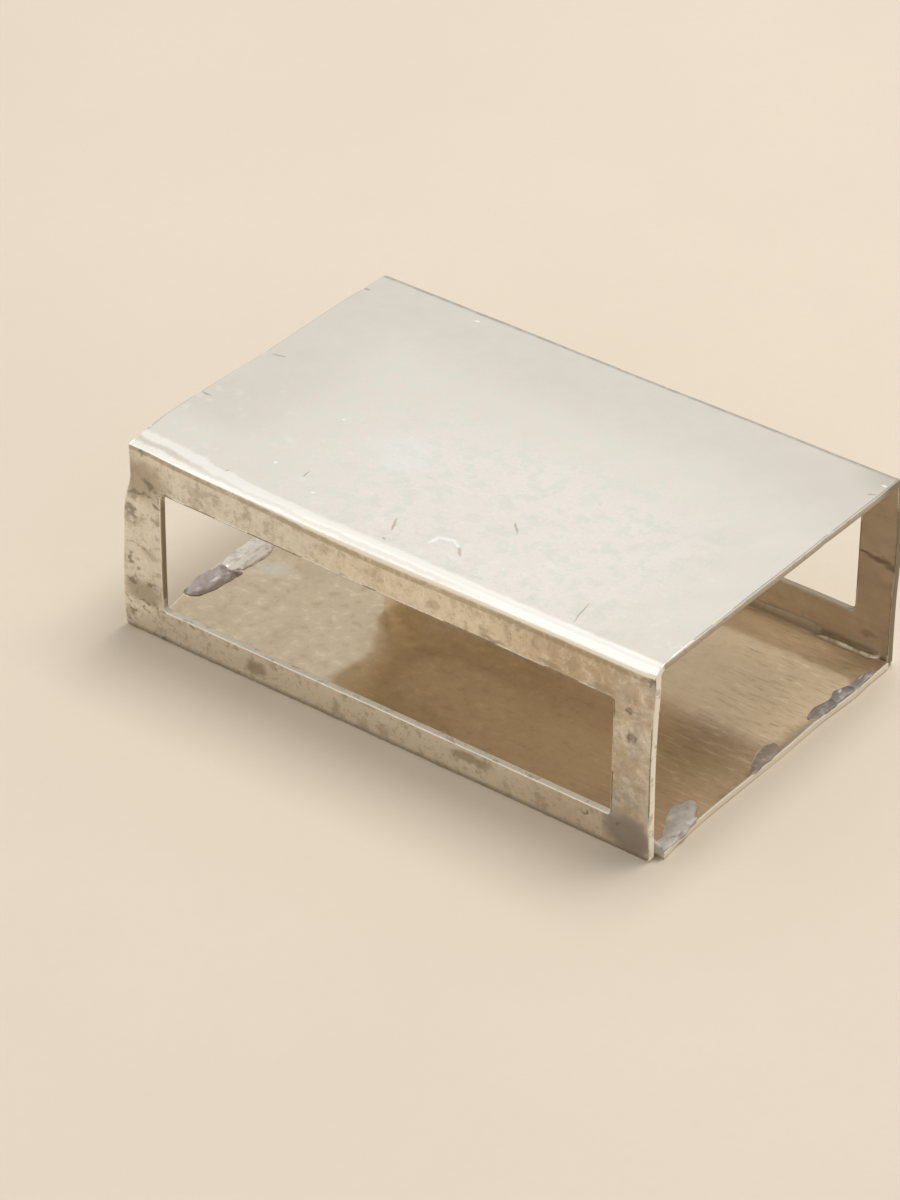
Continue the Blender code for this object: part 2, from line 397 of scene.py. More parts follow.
@dataclass
class Cover:
    """The bent strip: a top, two bends, and two walls with a window each.

    A point of the outer skin lies at a share of one span of the section and at a share of one span of
    the length. Walls and top are straight spans, and a bend is a quarter of an ellipse. Windows are
    blocks of cells left out. Their corners, and those of the feet, are rounded by sliding the grid.
    """

    sheet: float = 0.7
    arris: float = 0.12
    inner_radius: float = 0.5
    far_radius: float = 1.0
    bend_reach: Knots = ((0.0, 3.0), (3.0, 2.85), (5.0, 2.55), (8.0, 2.1), (12.0, 1.7), (16.0, 1.45),
                         (22.0, 1.3), (30.0, 1.22), (58.0, 1.2))
    bend_drop: Knots = ((0.0, 0.3), (3.0, 0.38), (5.0, 0.54), (8.0, 0.7), (12.0, 0.82), (16.0, 0.98),
                        (20.0, 1.2), (27.0, 1.38), (36.0, 1.3), (45.0, 1.3), (58.0, 1.38))
    stile: float = 4.35
    near_left_stile: float = 3.7
    near_sill: float = 3.3
    near_head: float = 15.9
    near_head_fall: float = 0.5
    far_sill: float = 4.5
    far_head: float = 16.8
    far_shift: float = 0.5
    near_corner: float = 0.42
    far_corner: float = 0.75
    corner_reach: float = 1.5
    foot_corner: float = 0.45
    near_left: Knots = ((0.0, -0.9), (2.0, -1.0), (5.5, -1.0), (10.0, -0.8), (13.65, -0.6), (15.1, -0.2),
                        (16.3, 0.12), (18.0, 0.12), (19.3, 0.1), (20.2, 0.1))
    near_right: Knots = ((0.0, 58.0), (0.9, 58.0), (2.5, 57.92), (6.7, 57.87), (10.9, 57.82), (15.0, 57.9),
                         (18.2, 58.04), (20.2, 58.0))
    top_left: Knots = ((2.4, 0.1), (4.0, -0.12), (8.0, -0.24), (13.0, -0.2), (18.0, -0.04), (30.0, 0.0),
                       (36.6, 0.1))
    top_right: Knots = ((1.2, 58.0), (36.6, 58.0))
    far_left: Knots = ((0.0, -1.0), (13.5, -0.6), (16.4, 0.0), (20.2, 0.1))
    far_right: Knots = ((0.0, 58.1), (5.0, 58.1), (7.4, 58.12), (10.7, 58.24), (16.0, 58.24), (19.0, 58.06),
                        (20.2, 58.0))
    nicks: Sequence[Dent] = (Dent((0.0, 10.5, 20.2), 0.35, 0.10), Dent((0.0, 19.7, 20.2), 0.3, 0.14),
                             Dent((0.0, 34.0, 20.2), 0.3, 0.10), Dent((58.0, 26.0, 20.2), 0.5, 0.06))
    hollows: Sequence[Dent] = (Dent((57.5, 0.0, 18.75), 0.45, 0.16), Dent((14.4, 0.0, 1.6), 0.9, 0.10),
                               Dent((23.3, 0.7, 19.6), 0.4, 0.07), Dent((51.5, 0.0, 16.4), 0.7, 0.06),
                               Dent((2.4, 0.0, 16.2), 0.8, 0.08), Dent((4.0, 0.0, 15.7), 0.6, 0.05),
                               Dent((0.3, 0.0, 13.2), 0.6, 0.05), Dent((1.1, 0.0, 3.45), 0.5, 0.06),
                               Dent((5.2, 0.0, 4.4), 0.5, 0.05), Dent((55.6, 0.0, 2.4), 1.0, 0.08),
                               Dent((51.0, 0.0, 2.2), 0.5, 0.05), Dent((56.2, 0.0, 12.2), 1.6, 0.07))
    waves: Sequence[Wave] = (Wave(0.03, 16.0, 3), Wave(0.012, 5.0, 4))
    fine: float = 0.12
    coarse: float = 0.52
    spread: float = 2.5
    bend_steps: int = 12

    def grade(self, length: float) -> np.ndarray:
        """Spread stations over a span of the grid."""
        return graded(length, self.fine, self.coarse, self.spread)

    def rows(self) -> tuple[np.ndarray, np.ndarray]:
        """Return each row's part of the section and its share of that part."""
        bend = np.linspace(0.0, 1.0, self.bend_steps + 1)
        lengths = (self.near_sill, self.near_head - self.near_sill, BENCH.height - self.near_head, None,
                   BENCH.width, None,
                   BENCH.height - self.far_head, self.far_head - self.far_sill, self.far_sill)
        return join_spans([bend if length is None else self.grade(length) for length in lengths])

    def columns(self) -> tuple[np.ndarray, np.ndarray]:
        """Return each column's span of the length and its share of that span."""
        window = BENCH.length - self.near_left_stile - self.stile
        return join_spans([self.grade(length) for length in (self.near_left_stile, window, self.stile)])

    def head(self, x: np.ndarray) -> np.ndarray:
        """Return the height of the near window's head, which falls towards the right."""
        return self.near_head - self.near_head_fall * np.clip(x / BENCH.length, 0.0, 1.0)

    def section(self, x: np.ndarray, inset: float) -> tuple[np.ndarray, ...]:
        """Lay the rows over the section at each column.

        Args:
            x: nominal place of each column.
            inset: how far under the outer faces the skin lies.

        Returns:
            Places y and z of rows by columns, their normals, and how far each point has rolled from a
            wall, 0, to the top, 1. On a wall that is minus the distance below its bend.
        """
        parts, shares = self.rows()
        width, height, flat = BENCH.width - inset, BENCH.height - inset, np.zeros_like(x)
        if inset > 0.0:
            reach, drop, far = (flat + self.inner_radius for _ in range(3))
        else:
            reach, drop = through(self.bend_reach, x), through(self.bend_drop, x)
            far = flat + self.far_radius
        walls = {
            Part.NEAR_SILL: (flat, flat + self.near_sill),
            Part.NEAR_WINDOW: (flat + self.near_sill, self.head(x)),
            Part.NEAR_HEAD: (self.head(x), height - drop),
            Part.FAR_HEAD: (height - far, flat + self.far_head),
            Part.FAR_WINDOW: (flat + self.far_head, flat + self.far_sill),
            Part.FAR_SILL: (flat + self.far_sill, flat),
        }
        bends = {Part.NEAR_BEND: (inset, 1.0, reach, drop), Part.FAR_BEND: (width, -1.0, far, far)}
        y, z, normal_y, normal_z, roll = (np.zeros((len(parts), len(x))) for _ in range(5))
        for part in Part:
            here = parts == part.value
            share = shares[here][:, None]
            if part in walls:
                z[here] = between(*walls[part], share)
                y[here], normal_y[here], bend = (inset, -1.0, drop) if part.near else (width, 1.0, far)
                roll[here] = z[here] - height + bend
            elif part in bends:
                side, inward, across, down = bends[part]
                turn = (share if inward > 0 else 1.0 - share) * math.pi / 2
                y[here] = side + inward * across * (1.0 - np.cos(turn))
                z[here] = height - down * (1.0 - np.sin(turn))
                length = np.hypot(np.cos(turn) / across, np.sin(turn) / down)
                normal_y[here] = -inward * np.cos(turn) / across / length
                normal_z[here] = np.sin(turn) / down / length
                roll[here] = turn / (math.pi / 2) + 0.0 * x
            else:
                y[here], z[here] = between(inset + reach, width - far, share), height
                normal_z[here] = roll[here] = 1.0
        return y, z, np.stack([np.zeros_like(y), normal_y, normal_z], axis=-1), roll

    def ends(self, parts: np.ndarray, across: np.ndarray,
             heights: np.ndarray) -> tuple[np.ndarray, np.ndarray]:
        """Find the strip's ends.

        Args:
            parts: each row's part of the section.
            across, heights: each row's place y and z.

        Returns:
            Where the left and the right end lie on each row.
        """
        near, far = parts <= Part.NEAR_BEND.value, parts >= Part.FAR_BEND.value
        places = []
        for near_end, top_end, far_end in ((self.near_left, self.top_left, self.far_left),
                                           (self.near_right, self.top_right, self.far_right)):
            place = np.where(near, through(near_end, heights), through(top_end, across))
            places.append(np.where(far, through(far_end, heights), place))
        left, right = places
        for nick in self.nicks:
            line = np.stack([0.0 * across + nick.middle[0], across, heights], axis=-1)
            if nick.middle[0] < BENCH.length / 2:
                left = left - nick.at(line)
            else:
                right = right + nick.at(line)
        return left[:, None], right[:, None]

    def sheet_of_silver(self) -> Sheet:
        """Lay the whole strip on its grid.

        Returns:
            The sheet, dented and with its windows marked.
        """
        parts, _ = self.rows()
        spans, shares = self.columns()
        marks = [0.0, self.near_left_stile, BENCH.length - self.stile, BENCH.length]
        nominal = between(np.take(marks, spans), np.take(marks, spans + 1), shares)
        y, z, normals, roll = self.section(nominal, 0.0)
        inner_y, inner_z, _, _ = self.section(nominal, self.sheet)
        left, right = self.ends(parts, y[:, 0], z[:, 0])
        share = y[:, :1] / BENCH.width
        window_left = between(self.near_left_stile, self.stile + self.far_shift, share)
        window_right = BENCH.length - self.stile + self.far_shift * share
        bounds = np.concatenate([left, window_left, window_right, right], axis=1)
        x = between(bounds[:, spans], bounds[:, spans + 1], shares)
        blocks = [self.block(parts, spans, part) for part in (Part.NEAR_WINDOW, Part.FAR_WINDOW)]
        edge = self.edge_distance(x, y, z, bounds, blocks)
        slide_x, slide_z = self.round_corners(parts, x, z, bounds)
        outer = np.stack([x + slide_x, y, z + slide_z], axis=-1)
        inner = np.stack([x + slide_x, inner_y, inner_z + slide_z], axis=-1)
        stand = normals * self.dents(outer)[..., None]
        return Sheet(outer + stand, inner + stand, {"edge": edge, "roll": roll}, self.arris, blocks)

    @staticmethod
    def block(parts: np.ndarray, spans: np.ndarray, part: Part) -> Block:
        """Return the first and last row and column of a window."""
        rows, columns = np.flatnonzero(parts == part.value), np.flatnonzero(spans == 1)
        return (rows[0] - 1, rows[-1]), (columns[0] - 1, columns[-1])

    @staticmethod
    def edge_distance(x: np.ndarray, y: np.ndarray, z: np.ndarray, bounds: np.ndarray,
                      blocks: Sequence[Block]) -> np.ndarray:
        """Return each point's distance to the nearest free edge, on the strip laid flat.

        Args:
            x, y, z: places of the grid's points.
            bounds: on each row, the strip's left end, the window's sides and the strip's right end.
            blocks: rows and columns of the windows.

        Returns:
            Distances of rows by columns.
        """
        left, window_left, window_right, right = (bounds[:, number:number + 1] for number in range(4))
        steps = np.hypot(np.diff(y, axis=0), np.diff(z, axis=0))
        run = np.concatenate([np.zeros((1, y.shape[1])), np.cumsum(steps, axis=0)])
        edge = np.minimum(np.minimum(x - left, right - x), np.minimum(run, run[-1] - run))
        aside = np.maximum(np.maximum(window_left - x, x - window_right), 0.0)
        for (low, high), _ in blocks:
            above = np.maximum(np.maximum(run[low] - run, run - run[high]), 0.0)
            edge = np.minimum(edge, np.hypot(aside, above))
        return edge

    def round_corners(self, parts: np.ndarray, x: np.ndarray, z: np.ndarray, bounds: np.ndarray
                      ) -> tuple[np.ndarray, np.ndarray]:
        """Slide the walls' points along their faces, so that windows and feet get round corners.

        Args:
            parts: each row's part of the section.
            x, z: places of the grid's points.
            bounds: on each row, the strip's left end, the window's sides and the strip's right end.

        Returns:
            How far each point slides along x and z.
        """
        all_x, all_z = np.zeros_like(x), np.zeros_like(z)
        near, far = parts <= Part.NEAR_HEAD.value, parts >= Part.FAR_HEAD.value
        for wall, sill, head, radius in ((near, self.near_sill, self.head, self.near_corner),
                                         (far, self.far_sill, None, self.far_corner)):
            left, window_left, window_right, right = (bounds[wall, number:number + 1] for number in range(4))
            slide_x, slide_z = np.zeros_like(x[wall]), np.zeros_like(x[wall])
            for side, inward in ((float(window_left[0, 0]), 1.0), (float(window_right[0, 0]), -1.0)):
                top = float(head(np.array(side))) if head else self.far_head
                for height, upward in ((sill, 1.0), (top, -1.0)):
                    dx, dz = self.fillet((x[wall] - side) * inward, (z[wall] - height) * upward, radius)
                    slide_x += dx * inward
                    slide_z += dz * upward
            for end, inward in ((left, 1.0), (right, -1.0)):
                dx, dz = self.rounding((x[wall] - end) * inward, z[wall])
                slide_x += dx * inward
                slide_z += dz
            all_x[wall], all_z[wall] = slide_x, slide_z
        return all_x, all_z

    def fillet(self, across: np.ndarray, up: np.ndarray, radius: float) -> tuple[np.ndarray, np.ndarray]:
        """Fill a window's corner with an arc.

        The edge's points within one radius of the corner go to the circle, straight from or to its
        centre, and the metal behind follows less and less.

        Args:
            across, up: distances from the corner, which grow into the window.
            radius: the arc's radius.

        Returns:
            How far each point slides in the same two directions.
        """
        from_x, from_z = np.clip(across, 0.0, radius) - radius, np.clip(up, 0.0, radius) - radius
        length = np.maximum(np.hypot(from_x, from_z), TINY)
        behind = np.hypot(np.minimum(across, 0.0), np.minimum(up, 0.0))
        pull = (radius / length - 1.0) * (1.0 - smooth(behind, 0.0, self.corner_reach))
        pull = np.where((across > TINY) & (up > TINY), 0.0, pull)
        return from_x * pull, from_z * pull

    def rounding(self, across: np.ndarray, up: np.ndarray) -> tuple[np.ndarray, np.ndarray]:
        """Round an outer corner: squares about a centre one radius in become circles about it.

        Args:
            across, up: distances from the corner, which grow into the metal.

        Returns:
            How far each point slides in the same two directions.
        """
        radius = self.foot_corner
        from_x, from_z = np.minimum(across - radius, 0.0), np.minimum(up - radius, 0.0)
        square = np.maximum(np.abs(from_x), np.abs(from_z))
        pull = square / np.maximum(np.hypot(from_x, from_z), TINY) - 1.0
        return from_x * pull, from_z * pull

    def dents(self, points: np.ndarray) -> np.ndarray:
        """Return how far each point stands out of the true sheet, in millimetres."""
        return sum(uneven.at(points) for uneven in (*self.waves, *self.hollows))

    def build(self) -> bpy.types.Object:
        """Make the cover."""
        return self.sheet_of_silver().skin().piece("silver_cover", "cover_sheet", Slot.COVER,
                                                   CoverSilver("aged_silver").material())


@dataclass
class BasePlate:
    """The flat plate between the feet of the walls, with uneven ends and a low warp by the near wall."""

    wall: float = 0.7
    sheet: float = 0.7
    arris: float = 0.1
    near_gap: float = 0.5
    far_gap: float = 0.3
    left_end: Knots = ((1.2, 1.45), (3.9, 1.12), (6.2, 0.75), (8.9, 0.3), (12.6, 0.12), (16.0, -0.05),
                       (25.0, -0.15), (36.8, -0.3))
    right_end: Knots = ((1.2, 58.7), (3.9, 58.42), (7.0, 58.28), (14.5, 58.28), (20.9, 58.31), (26.0, 58.22),
                        (28.8, 58.34), (30.3, 58.42), (33.7, 58.32), (36.8, 58.3))
    warp: float = 0.28
    warp_place: float = 23.0
    warp_reach: float = 4.5
    warp_across: Span = (4.0, 18.0)
    lift: float = 0.03
    waves: Sequence[Wave] = (Wave(0.015, 15.0, 11), Wave(0.004, 4.0, 12))
    fine: float = 0.12
    coarse: float = 0.6
    spread: float = 2.5

    def sheet_of_silver(self) -> Sheet:
        """Lay the plate on its grid, each row from its left to its right end.

        Returns:
            The sheet. Its warp is a bell curve along the sleeve that fades out across it.
        """
        near, far = self.wall + self.near_gap, BENCH.width - self.wall - self.far_gap
        across = between(near, far, graded(far - near, self.fine, self.coarse, self.spread))[:, None]
        along = graded(BENCH.length, self.fine, self.coarse, self.spread)[None, :]
        left, right = through(self.left_end, across), through(self.right_end, across)
        x, y = between(left, right, along), across + 0.0 * along
        edge = np.minimum(np.minimum(x - left, right - x), np.minimum(y - near, far - y))
        points = np.stack([x, y, np.full_like(x, self.sheet)], axis=-1)
        points[..., 2] += self.lift + sum(wave.at(points) for wave in self.waves)
        bell = np.exp(-((x - self.warp_place) / self.warp_reach) ** 2)
        points[..., 2] += self.warp * bell * (1.0 - smooth(y, *self.warp_across))
        return Sheet(points, points - (0.0, 0.0, self.sheet), {"edge": edge}, self.arris)

    def build(self) -> bpy.types.Object:
        """Make the plate."""
        return self.sheet_of_silver().skin().piece("silver_base_plate", "base_plate", Slot.PLATE,
                                                   PlateSilver("tarnished_plate").material())


def close_tube(rings: np.ndarray, readings: Mapping[str, np.ndarray]) -> Skin:
    """Join rings of points into a closed surface, with a fan from the middle over each end.

    Args:
        rings: stations by points round each ring by three. A ring runs counter-clockwise seen against
            the way the stations go.
        readings: the readings of the same points. A middle takes those of the first point of its ring.

    Returns:
        The surface.
    """
    stations, count = rings.shape[:2]
    index = np.arange(stations * count).reshape(stations, count)
    index = np.hstack([index, index[:, :1]])
    first, last = stations * count, stations * count + 1
    start = np.stack([index[0, 1:], index[0, :-1], np.full(count, first)], axis=-1)
    finish = np.stack([index[-1, :-1], index[-1, 1:], np.full(count, last)], axis=-1)
    points = np.concatenate([rings.reshape(-1, 3), rings[[0, -1]].mean(axis=1)])
    carried = {}
    for name, grid in readings.items():
        flat = grid.reshape(stations * count, *grid.shape[2:])
        carried[name] = np.concatenate([flat, grid[[0, -1], 0]])
    return Skin(points, [grid_quads(index).reshape(-1, 4), start, finish], carried)


@dataclass
class SolderSeam:
    """A fillet of solder along the inner foot of a wall, with a low bead on its last stretch.

    Over the distance from the wall, the fillet's height falls as a square, and the bead adds the top of
    a parabola. The two join as the root of the sum of their squares. Behind the fillet a tongue fills
    the gap between wall and plate.
    """

    name: str
    node: str
    far: bool
    start: float
    end: float
    seed: int
    gap: float = 0.3
    bead_start: float | None = None
    bead_lead: float = 1.2
    bead_climb: float = 0.35
    bead_rise: float = 0.26
    bead_place: float = 0.62
    bead_half: float = 0.34
    bead_round: float = 0.8
    climb: float = 0.8
    foot: float = 0.85
    sunk: float = 0.04
    tongue: float = 0.55
    taper: float = 0.8
    least_taper: float = 0.02
    swell: Span = (0.08, 4.5)
    tremble: Span = (0.04, 1.1)
    curve_steps: int = 20
    crowding: float = 1.3
    spacing: float = 0.22

    def skin(self) -> Skin:
        """Carry the section along the wall.

        Returns:
            The seam's surface, with each point's share of the bead's crest.
        """
        x = np.linspace(self.start, self.end, int((self.end - self.start) / self.spacing))[:, None]
        flat = 0.0 * x
        bead = flat
        if self.bead_start is not None:
            bead = smooth(x, self.bead_start, self.bead_start + self.bead_lead)
        waves = Wave(*self.swell, self.seed), Wave(*self.tremble, self.seed + 1)
        uneven = 1.0 + sum(wave.at(np.hstack([x, flat, flat]))[:, None] for wave in waves)
        from_end = np.minimum(x - self.start, self.end - x) / self.taper
        taper = np.sqrt(np.clip(from_end, self.least_taper, 1.0))
        climb = between(self.climb, self.bead_climb, bead) * uneven * taper
        foot = self.foot * uneven * taper
        reach = between(foot, (self.bead_place + self.bead_half) * taper, bead)
        away = reach * np.linspace(0.0, 1.0, self.curve_steps + 1)[None, :] ** self.crowding
        fillet = climb * np.clip(1.0 - away / foot, 0.0, 1.0) ** 2
        arch = np.clip(1.0 - ((away - self.bead_place * taper) / self.bead_half) ** 2, 0.0, 1.0)
        height = np.hypot(fillet, self.bead_rise * bead * uneven * taper * arch ** self.bead_round)
        crest = np.hstack([bead * arch, flat, flat, flat])
        less, slit, root = flat - self.sunk, flat + self.gap + self.sunk, flat - self.tongue
        inward = np.hstack([away[:, :1] - self.sunk, away[:, 1:], slit, slit, less])
        up = np.hstack([height[:, :-1], less, less, root, root])
        face, side = (BENCH.width - BasePlate.wall, -1.0) if self.far else (BasePlate.wall, 1.0)
        rings = np.stack([x + 0.0 * inward, face + side * inward, up + BasePlate.sheet + self.sunk], axis=-1)
        order = slice(None) if self.far else slice(None, None, -1)
        return close_tube(rings[:, order], {"bead": crest[:, order]})

    def build(self) -> bpy.types.Object:
        """Make the seam."""
        return self.skin().piece(self.name, self.node, Slot.SEAM, SeamSolder("bright_solder").material())


def closed_curve(corners: Knots, steps: int) -> np.ndarray:
    """Draw a smooth closed curve through points, as a Catmull-Rom spline.

    Args:
        corners: the points, in order.
        steps: points of the curve between each two of them.

    Returns:
        Points of the curve, by two, counter-clockwise. The shoelace sum is negative where they are not.
    """
    knots = np.array(corners)
    x, y = knots.T
    if np.sum(x * np.roll(y, -1) - np.roll(x, -1) * y) < 0.0:
        knots = knots[::-1]
    before, here, after, beyond = (np.roll(knots, -shift, axis=0)[:, None] for shift in (-1, 0, 1, 2))
    t = np.linspace(0.0, 1.0, steps, endpoint=False)[None, :, None]
    curve = 2 * here + (after - before) * t + (2 * before - 5 * here + 4 * after - beyond) * t ** 2
    curve = curve + (3 * here - before - 3 * after + beyond) * t ** 3
    return curve.reshape(-1, 2) / 2


class Tone(Enum):
    """The tones of old solder, and a painted highlight and a painted shadow for lobes' rims."""

    MAUVE = (0.52, 0.45, 0.43)
    GREY = (0.88, 0.82, 0.72)
    BROWN = (0.32, 0.255, 0.19)
    DUSK = (0.30, 0.245, 0.215)
    BLUE_GREY = (0.31, 0.285, 0.265)
    LILAC = (0.38, 0.325, 0.30)
    SOFT_GREY = (0.60, 0.57, 0.53)
    PALE = (1.0, 0.95, 0.88)
    SHADOW = (0.16, 0.13, 0.10)


@dataclass(frozen=True)
class Lobe:
    """One swelling of solder that set on the plate.

    Its outline is a smooth closed curve, counter-clockwise seen from above. Rings of the same outline
    shrink towards its middle, and the height rises from the outline as a rounded dome with an uneven
    top and, on request, grooves that run across the sleeve. Beside a wall it also climbs, by a height
    that falls off with the distance from the wall.
    """

    outline: Knots
    rise: float
    tone: Tone
    seed: int
    steep: float = 0.5
    bumps: float = 0.2
    bump_size: float = 1.6
    grooves: float = 0.0
    groove_size: float = 0.55
    climb: float = 0.0
    climb_reach: float = 0.5
    climb_from: float = 0.7
    # A rim tone is laid on one side of the outline: on the small drop it is a painted highlight, on the
    # right-edge lobes a painted shadow, on the corner lump the plate's brown.
    rim_tone: Tone | None = None
    rim_side: Span = (-1.0, 0.0)
    rim_depth: Span = (0.3, 0.8)
    rim_fan: Span = (0.2, 0.8)
    ragged: float = 0.05
    ragged_size: float = 1.0
    ragged_seed: int = 50
    rings: int = 14
    steps: int = 8
    sunk: float = 0.06

    def skin(self) -> Skin:
        """Raise the lobe over its outline.

        Returns:
            Its surface, with its tone and each point's height as a share of the dome.
        """
        edge = closed_curve(self.outline, self.steps)
        middle = edge.mean(axis=0)
        wander = Wave(self.ragged, self.ragged_size, self.seed + self.ragged_seed)
        edge = middle + (edge - middle) * (1.0 + wander.at(np.pad(edge, ((0, 0), (0, 1)))))[:, None]
        share = np.sin(np.linspace(0.0, math.pi / 2, self.rings + 1))[1:, None]
        plan = middle + (edge - middle) * share[..., None]
        dome = np.clip(1.0 - share ** 2.0, 0.0, 1.0) ** self.steep
        bumps = Wave(self.bumps, self.bump_size, self.seed)
        uneven = 1.0 + bumps.at(np.pad(plan, ((0, 0), (0, 0), (0, 1))))
        uneven = uneven + self.grooves * np.cos(2 * math.pi * plan[..., 0] / self.groove_size)
        beside = np.exp(-np.maximum(plan[..., 1] - self.climb_from, 0.0) / self.climb_reach)
        height = self.rise * dome * uneven + self.climb * beside * np.sqrt(dome)
        top = np.concatenate([plan, height[..., None]], axis=-1)[::-1]
        under = np.concatenate([plan[-1:], np.full_like(plan[-1:, :, :1], -self.sunk)], axis=-1)
        rings = np.concatenate([under, top])
        rings[..., 2] += BasePlate.sheet + self.sunk / 2
        high = np.concatenate([0.0 * dome[:1], dome[::-1]]) + 0.0 * rings[..., 0]
        tone = np.broadcast_to(self.tone.value, rings.shape)
        if self.rim_tone is not None:
            way = (edge - middle) / np.linalg.norm(edge - middle, axis=-1, keepdims=True)
            rim = smooth(1.0 - high, *self.rim_depth) * smooth(way @ np.array(self.rim_side), *self.rim_fan)
            tone = between(tone, np.array(self.rim_tone.value), rim[..., None])
        return close_tube(rings, {"high": high, "tone": tone})


@dataclass
class Lump:
    """A lump of solder, made of one or more lobes that ran together."""

    name: str
    node: str
    lobes: Sequence[Lobe]

    def build(self) -> bpy.types.Object:
        """Make the lump."""
        skin = join_skins([lobe.skin() for lobe in self.lobes])
        return skin.piece(self.name, self.node, Slot.LUMP, LumpSolder("grey_solder").material())


# Shader maths

class Reading:
    """A number that a finish works out at each point. Python's operators on it add Math nodes."""

    def __init__(self, board: "Board", socket: bpy.types.NodeSocket) -> None:
        """Keep the board that the number lives on and the socket that gives it."""
        self.board = board
        self.socket = socket

    def math(self, operation: str, *numbers: "Reading | float", clamp: bool = False) -> "Reading":
        """Add one Math node.

        Args:
            operation: what it does.
            numbers: its operands, in order.
            clamp: whether the result stays between 0 and 1.

        Returns:
            The result.
        """
        settings = {"operation": operation, "use_clamp": clamp}
        node = self.board.node("ShaderNodeMath", settings, dict(enumerate(numbers)))
        return Reading(self.board, node.outputs[0])

    def __add__(self, other: "Reading | float") -> "Reading":
        """Add."""
        return self.math("ADD", self, other)

    __radd__ = __add__

    def __sub__(self, other: "Reading | float") -> "Reading":
        """Subtract."""
        return self.math("SUBTRACT", self, other)

    def __rsub__(self, other: "Reading | float") -> "Reading":
        """Subtract from a number."""
        return self.math("SUBTRACT", other, self)

    def __mul__(self, other: "Reading | float") -> "Reading":
        """Multiply."""
        return self.math("MULTIPLY", self, other)

    __rmul__ = __mul__

    def clamp(self) -> "Reading":
        """Keep the number between 0 and 1."""
        return self.math("ADD", self, 0.0, clamp=True)

    def most(self, other: "Reading | float") -> "Reading":
        """Take the larger of two."""
        return self.math("MAXIMUM", self, other)

    def step(self, start: float, end: float) -> "Reading":
        """Rise smoothly from 0 at start to 1 at end, or fall where end lies below start."""
        node = self.board.node("ShaderNodeMapRange", {"interpolation_type": "SMOOTHSTEP"},
                               {"Value": self, "From Min": start, "From Max": end})
        return Reading(self.board, node.outputs["Result"])

    def band(self, low: float, high: float, soft: float) -> "Reading":
        """Be 1 between two values and fall smoothly to 0 over a soft border outside them."""
        return self.step(low - soft, low) * self.step(high + soft, high)


@dataclass(frozen=True)
class Pattern:
    """An uneven pattern: the size of its features, its seed, its finer layers and how it is drawn out.

    The stretch says how many times longer its features are along each axis, and the turn is in degrees.
    """

    size: float
    seed: float
    layers: float = 3.0
    rough: float = 0.55
    stretch: Place = (1.0, 1.0, 1.0)
    turn: Place = (0.0, 0.0, 0.0)


@dataclass(frozen=True)
class Coat:
    """A colour that shows by a share where a pattern has passed from one value to another."""

    pattern: Pattern
    passes: Span
    share: float
    colour: Colour
    roughness: float | None = None


@dataclass(frozen=True)
class Mark:
    """A blemish: an ellipsoid with a middle, half axes in millimetres, and a turn in degrees."""

    middle: Place
    reach: Place
    turn: Place = (0.0, 0.0, 0.0)


@dataclass(frozen=True)
class Spots:
    """Marks of one colour, which shows by a share and fades in over shares of each mark's reach.

    Their outlines wander: the drift gives the size of the pattern that moves them and how far it does.
    """

    marks: Sequence[Mark]
    share: float
    colour: Colour
    roughness: float | None = None
    metallic: float | None = None
    fade: Span = (0.0, 0.6)
    drift: Span = (1.0, 0.55)


